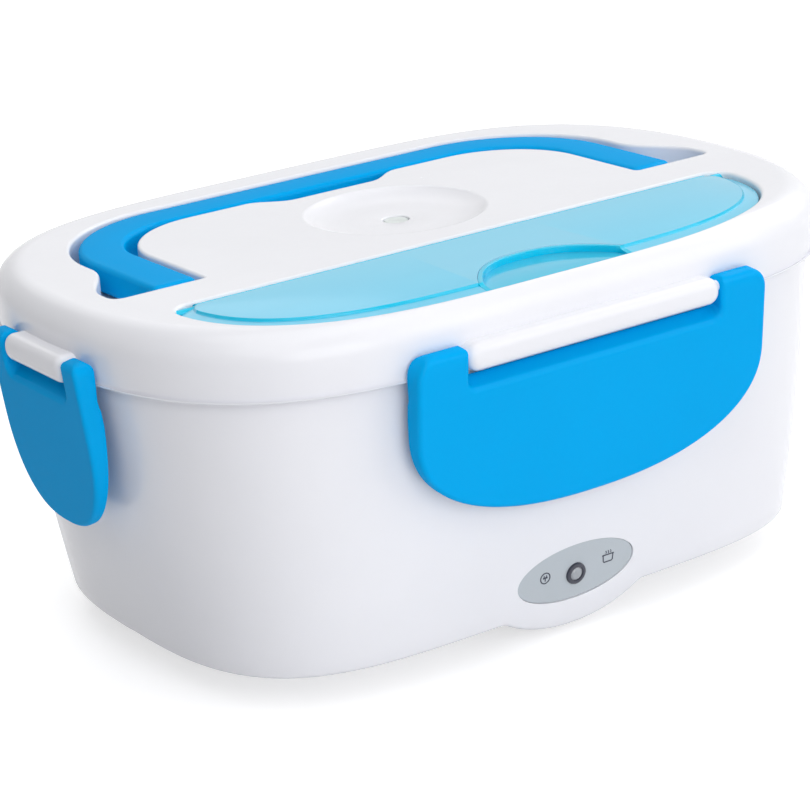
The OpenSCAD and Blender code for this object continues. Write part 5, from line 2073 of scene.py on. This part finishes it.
@dataclass
class LampPanel:
    """The grey label with its generic signs round the lamp."""

    form: BoxForm
    wall_z: float = 18.3
    half: Pair = (19.5, 8.1)
    sink: float = 0.8
    thick: float = 0.5
    lamp_y: float = -0.8
    lamp_hole: float = 2.7
    ink: float = 0.07
    line: float = 0.34
    plug_place: Pair = (-10.3, 0.7)
    plug_ring: float = 1.55
    pot_place: Pair = (11.0, 0.9)
    bezel: Pair = (3.15, 1.95)
    bezel_high: float = 0.8
    bezel_root: float = 3.0

    def label_shell(self) -> Shell:
        """Return the label's plate.

        Returns:
            The closed shell.
        """
        made = Shell()
        outline = circle(1.0, 140) * self.half
        hole = circle(self.lamp_hole, 48, (0, self.lamp_y))
        low, high, soft = -self.sink, self.thick - self.sink, 0.12
        rings = [
            made.ring(outline, low),
            made.ring(outline, high - soft),
            made.ring(grown(outline, -soft), high),
        ]
        holes = [made.ring(hole, low), made.ring(hole, high)]
        made.stack(rings)
        made.bridge(*holes)
        made.fill(rings[0], [holes[0]])
        made.fill(rings[-1], [holes[1]])
        return made

    def stroke(self, made: Shell, place: Pair, points: Sequence[Pair], width: float) -> None:
        """Print a line on the label.

        Args:
            made: the shell to build in.
            place: the middle of the line's sign.
            points: the line's points, from the sign's middle.
            width: its width.
        """
        path = np.array(points) + place
        ahead = np.gradient(path, axis=0)
        ahead /= np.linalg.norm(ahead, axis=1, keepdims=True)
        side = np.stack([-ahead[:, 1], ahead[:, 0]], 1) * width / 2
        outline = np.concatenate([path + side, (path - side)[::-1]])[::-1]
        top = self.thick - self.sink
        rings = [made.ring(outline, top - 0.02), made.ring(outline, top + self.ink)]
        made.stack(rings)
        made.fill(rings[0])
        made.fill(rings[1])

    def plug_sign(self, made: Shell) -> None:
        """Print a plug in a ring.

        Args:
            made: the shell to build in.
        """
        turns = np.linspace(0, 2 * math.pi - 0.03, 41)
        ring = [(self.plug_ring * math.cos(t), self.plug_ring * math.sin(t)) for t in turns]
        self.stroke(made, self.plug_place, ring, self.line)
        plug = (
            ([(-0.75, 0.1), (0.0, 0.1), (0.75, 0.1)], 0.5),
            ([(-0.4, 0.3), (-0.4, 0.85)], 0.26),
            ([(0.4, 0.3), (0.4, 0.85)], 0.26),
            ([(0.0, -0.1), (0.0, -0.95)], 0.3),
        )
        for points, width in plug:
            self.stroke(made, self.plug_place, points, width)

    def pot_sign(self, made: Shell) -> None:
        """Print a steaming pot.

        Args:
            made: the shell to build in.
        """
        pot = [(-1.7, 0.7), (-1.55, -1.2), (-1.3, -1.45), (1.3, -1.45), (1.55, -1.2), (1.7, 0.7)]
        self.stroke(made, self.pot_place, pot, self.line)
        self.stroke(made, self.pot_place, [(-2.0, 0.7), (0.0, 0.7), (2.0, 0.7)], self.line)
        rise = np.linspace(0, 1, 9)
        for shift in (-0.8, 0.0, 0.8):
            steam = [(shift + 0.16 * math.sin(3.6 * t), 1.05 + 0.9 * t) for t in rise]
            self.stroke(made, self.pot_place, steam, 0.24)

    def signs_shell(self) -> Shell:
        """Return the printed signs: a plug in a ring and a steaming pot.

        Returns:
            The signs' strokes in one shell.
        """
        made = Shell()
        self.plug_sign(made)
        self.pot_sign(made)
        return made

    def bezel_shell(self) -> Shell:
        """Return the dark ring round the lamp.

        Returns:
            The closed shell.
        """
        made = Shell()
        outer, inner = self.bezel
        low = self.thick - self.sink
        high, root, neck = low + self.bezel_high, low - self.bezel_root, self.lamp_hole - 0.1
        profile = [
            (inner, root), (inner, high - 0.25), (inner + 0.1, high - 0.05), (inner + 0.3, high),
            (outer - 0.5, high), (outer - 0.15, high - 0.15), (outer, high - 0.5), (outer, low),
            (neck, low), (neck, root),
        ]
        rings = [made.ring(circle(r, 64, (0, self.lamp_y)), z) for r, z in profile]
        made.stack(rings)
        made.bridge(rings[-1], rings[0])
        return made

    def build(self) -> None:
        """Make the label, its signs and the lamp's ring."""
        place = turned(self.form.on_front_wall(self.wall_z))
        for name, shell, look, nodes, slot in (
            ("label_film", self.label_shell(), Look.LABEL, ["label_plate"], "label_grey"),
            ("label_signs", self.signs_shell(), Look.INK, [], "label_grey"),
            ("lamp_ring", self.bezel_shell(), Look.RING, ["lamp_bezel"], "bezel_grey"),
        ):
            place_piece(name, shell.moved(place), look, "base", nodes)


# ---- Dressed CAD nodes ----


class Dress:
    """The finishes of the frame's own nodes."""

    finishes: dict[str, Look] = {
        "lid_liner": Look.WELL, "lid_seal": Look.SEAL, "vent_plug": Look.VALVE,
        "inner_well": Look.WELL, "food_tray": Look.TRAY, "side_dish_box": Look.WELL,
        "side_dish_lid": Look.BOX_LID, "heating_plate": Look.PLATE, "plate_screws": Look.SCREW,
        "heating_element": Look.CERAMIC, "element_strap": Look.SCREW, "strap_screws": Look.SCREW,
        "thermostat": Look.SOCKET, "thermostat_screws": Look.SCREW, "thermal_fuse": Look.CERAMIC,
        "supply_inlet": Look.SOCKET, "inlet_pins": Look.BRASS, "inlet_screws": Look.SCREW,
        "live_wire": Look.RED_WIRE, "neutral_wire": Look.BLUE_WIRE, "fuse_wire": Look.RED_WIRE,
        "element_wire": Look.RED_WIRE, "lamp_lens": Look.LENS, "lamp_led": Look.LED,
        "lamp_board": Look.BOARD, "base_plate": Look.WHITE, "base_screws": Look.SCREW,
        "foot_front_left": Look.FOOT, "foot_front_right": Look.FOOT,
        "foot_back_left": Look.FOOT, "foot_back_right": Look.FOOT,
    }

    def build(self) -> None:
        """Give each carried node its material."""
        for name, look in self.finishes.items():
            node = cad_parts[name]
            for slot in node.material_slots:
                slot.material = look.value.material()
            log.info("%s: dressed as %s", name, look.name)


# ---- Studio ----


@dataclass(frozen=True)
class SoftLight:
    """A round soft light: where it hangs, its width and its power."""

    place: Triple
    size: float
    power: float


@dataclass
class Studio:
    """The floor, the lights and the camera."""

    camera_place: Triple = (-0.399, -0.603, 0.298)
    yaw: float = -0.5776
    pitch: float = 0.3318
    roll: float = -0.0724
    lens: float = 119.15
    floor_half: float = 1.3
    floor_colour: Triple = (0.7, 0.7, 0.71)
    floor_roughness: float = 0.6
    floor_glow: float = 0.58
    world: float = 0.15
    aim: Triple = (0.0, 0.0, 0.05)
    lights: tuple[SoftLight, ...] = (
        SoftLight((-0.9, -0.9, 1.5), 1.4, 6.7),
        SoftLight((1.0, -1.2, 0.7), 1.2, 5.6),
        SoftLight((0.0, 0.0, 1.8), 1.6, 10.4),
        SoftLight((-0.3, -1.5, 0.5), 1.2, 9.7),
        SoftLight((1.3, 0.2, 1.0), 1.2, 7.95),
        SoftLight((0.3, 1.3, 1.1), 1.2, 2.2),
    )

    def camera(self) -> None:
        """Place the camera."""
        data = bpy.data.cameras.new("camera")
        data.sensor_width = 36.0
        data.lens = self.lens
        data.clip_start, data.clip_end = 0.01, 50.0
        item = bpy.data.objects.new("camera", data)
        bpy.context.scene.collection.objects.link(item)
        ahead = Vector((
            -math.sin(self.yaw) * math.cos(self.pitch),
            math.cos(self.yaw) * math.cos(self.pitch),
            -math.sin(self.pitch),
        ))
        right = Vector((math.cos(self.yaw), math.sin(self.yaw), 0.0))
        up = right.cross(ahead)
        x = right * math.cos(self.roll) + up * math.sin(self.roll)
        y = -right * math.sin(self.roll) + up * math.cos(self.roll)
        turn = Matrix((x, y, -ahead)).transposed().to_4x4()
        item.matrix_world = Matrix.Translation(self.camera_place) @ turn
        bpy.context.scene.camera = item

    def floor(self) -> None:
        """Lay the floor, which shows white and keeps the shadow."""
        made = Shell()
        corners = np.array([(-1.0, -1.0), (1.0, -1.0), (1.0, 1.0), (-1.0, 1.0)])
        made.fill(made.ring(corners * self.floor_half / MILLIMETRE, 0.0))
        piece = bpy.data.objects.new("floor", made.mesh("floor"))
        bpy.context.scene.collection.objects.link(piece)
        material = bpy.data.materials.new("pale_floor")
        material.use_nodes = True
        graph = Graph(material.node_tree)
        rays = graph.rays()
        colour = (*self.floor_colour, 1.0)
        lit = graph.surface({"Base Color": colour, "Roughness": self.floor_roughness})
        strength = rays * self.floor_glow
        glow = graph.node("ShaderNodeEmission", {}, {"Color": (1, 1, 1, 1), "Strength": strength})
        graph.finish(graph.node("ShaderNodeAddShader", {}, {0: lit, 1: glow}))
        piece.data.materials.append(material)

    def sky(self) -> None:
        """Light the scene evenly and show white behind it."""
        world = bpy.data.worlds.new("studio")
        world.use_nodes = True
        bpy.context.scene.world = world
        graph = Graph(world.node_tree)
        rays = graph.rays()
        strength = rays * (1.0 - self.world) + self.world
        back = graph.node("ShaderNodeBackground", {}, {"Color": (1, 1, 1, 1), "Strength": strength})
        graph.node("ShaderNodeOutputWorld", {}, {"Surface": back})

    def lamps(self) -> None:
        """Hang the soft lights."""
        for number, light in enumerate(self.lights):
            data = bpy.data.lights.new(f"soft_{number}", "AREA")
            data.shape, data.size, data.energy = "DISK", light.size, light.power
            item = bpy.data.objects.new(f"soft_{number}", data)
            bpy.context.scene.collection.objects.link(item)
            item.location = light.place
            ahead = Vector(self.aim) - Vector(light.place)
            item.rotation_euler = ahead.to_track_quat("-Z", "Y").to_euler()

    def build(self) -> None:
        """Set up the studio."""
        bpy.context.scene.view_settings.view_transform = "Standard"
        self.camera()
        self.floor()
        self.sky()
        self.lamps()
        log.info("studio: camera, floor and %d lights", len(self.lights))


def main() -> None:
    """Build the lunch box."""
    logging.basicConfig(level=logging.INFO, format="%(message)s")
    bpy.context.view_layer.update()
    form = BoxForm()
    studio = Studio()
    studio.build()
    Lid(form).build()
    for face in Face:
        Latch(form, face).build()
    Handle().build()
    SpoonBay().build()
    Body(form).build()
    LampPanel(form).build()
    Dress().build()


if __name__ == "__main__":
    main()
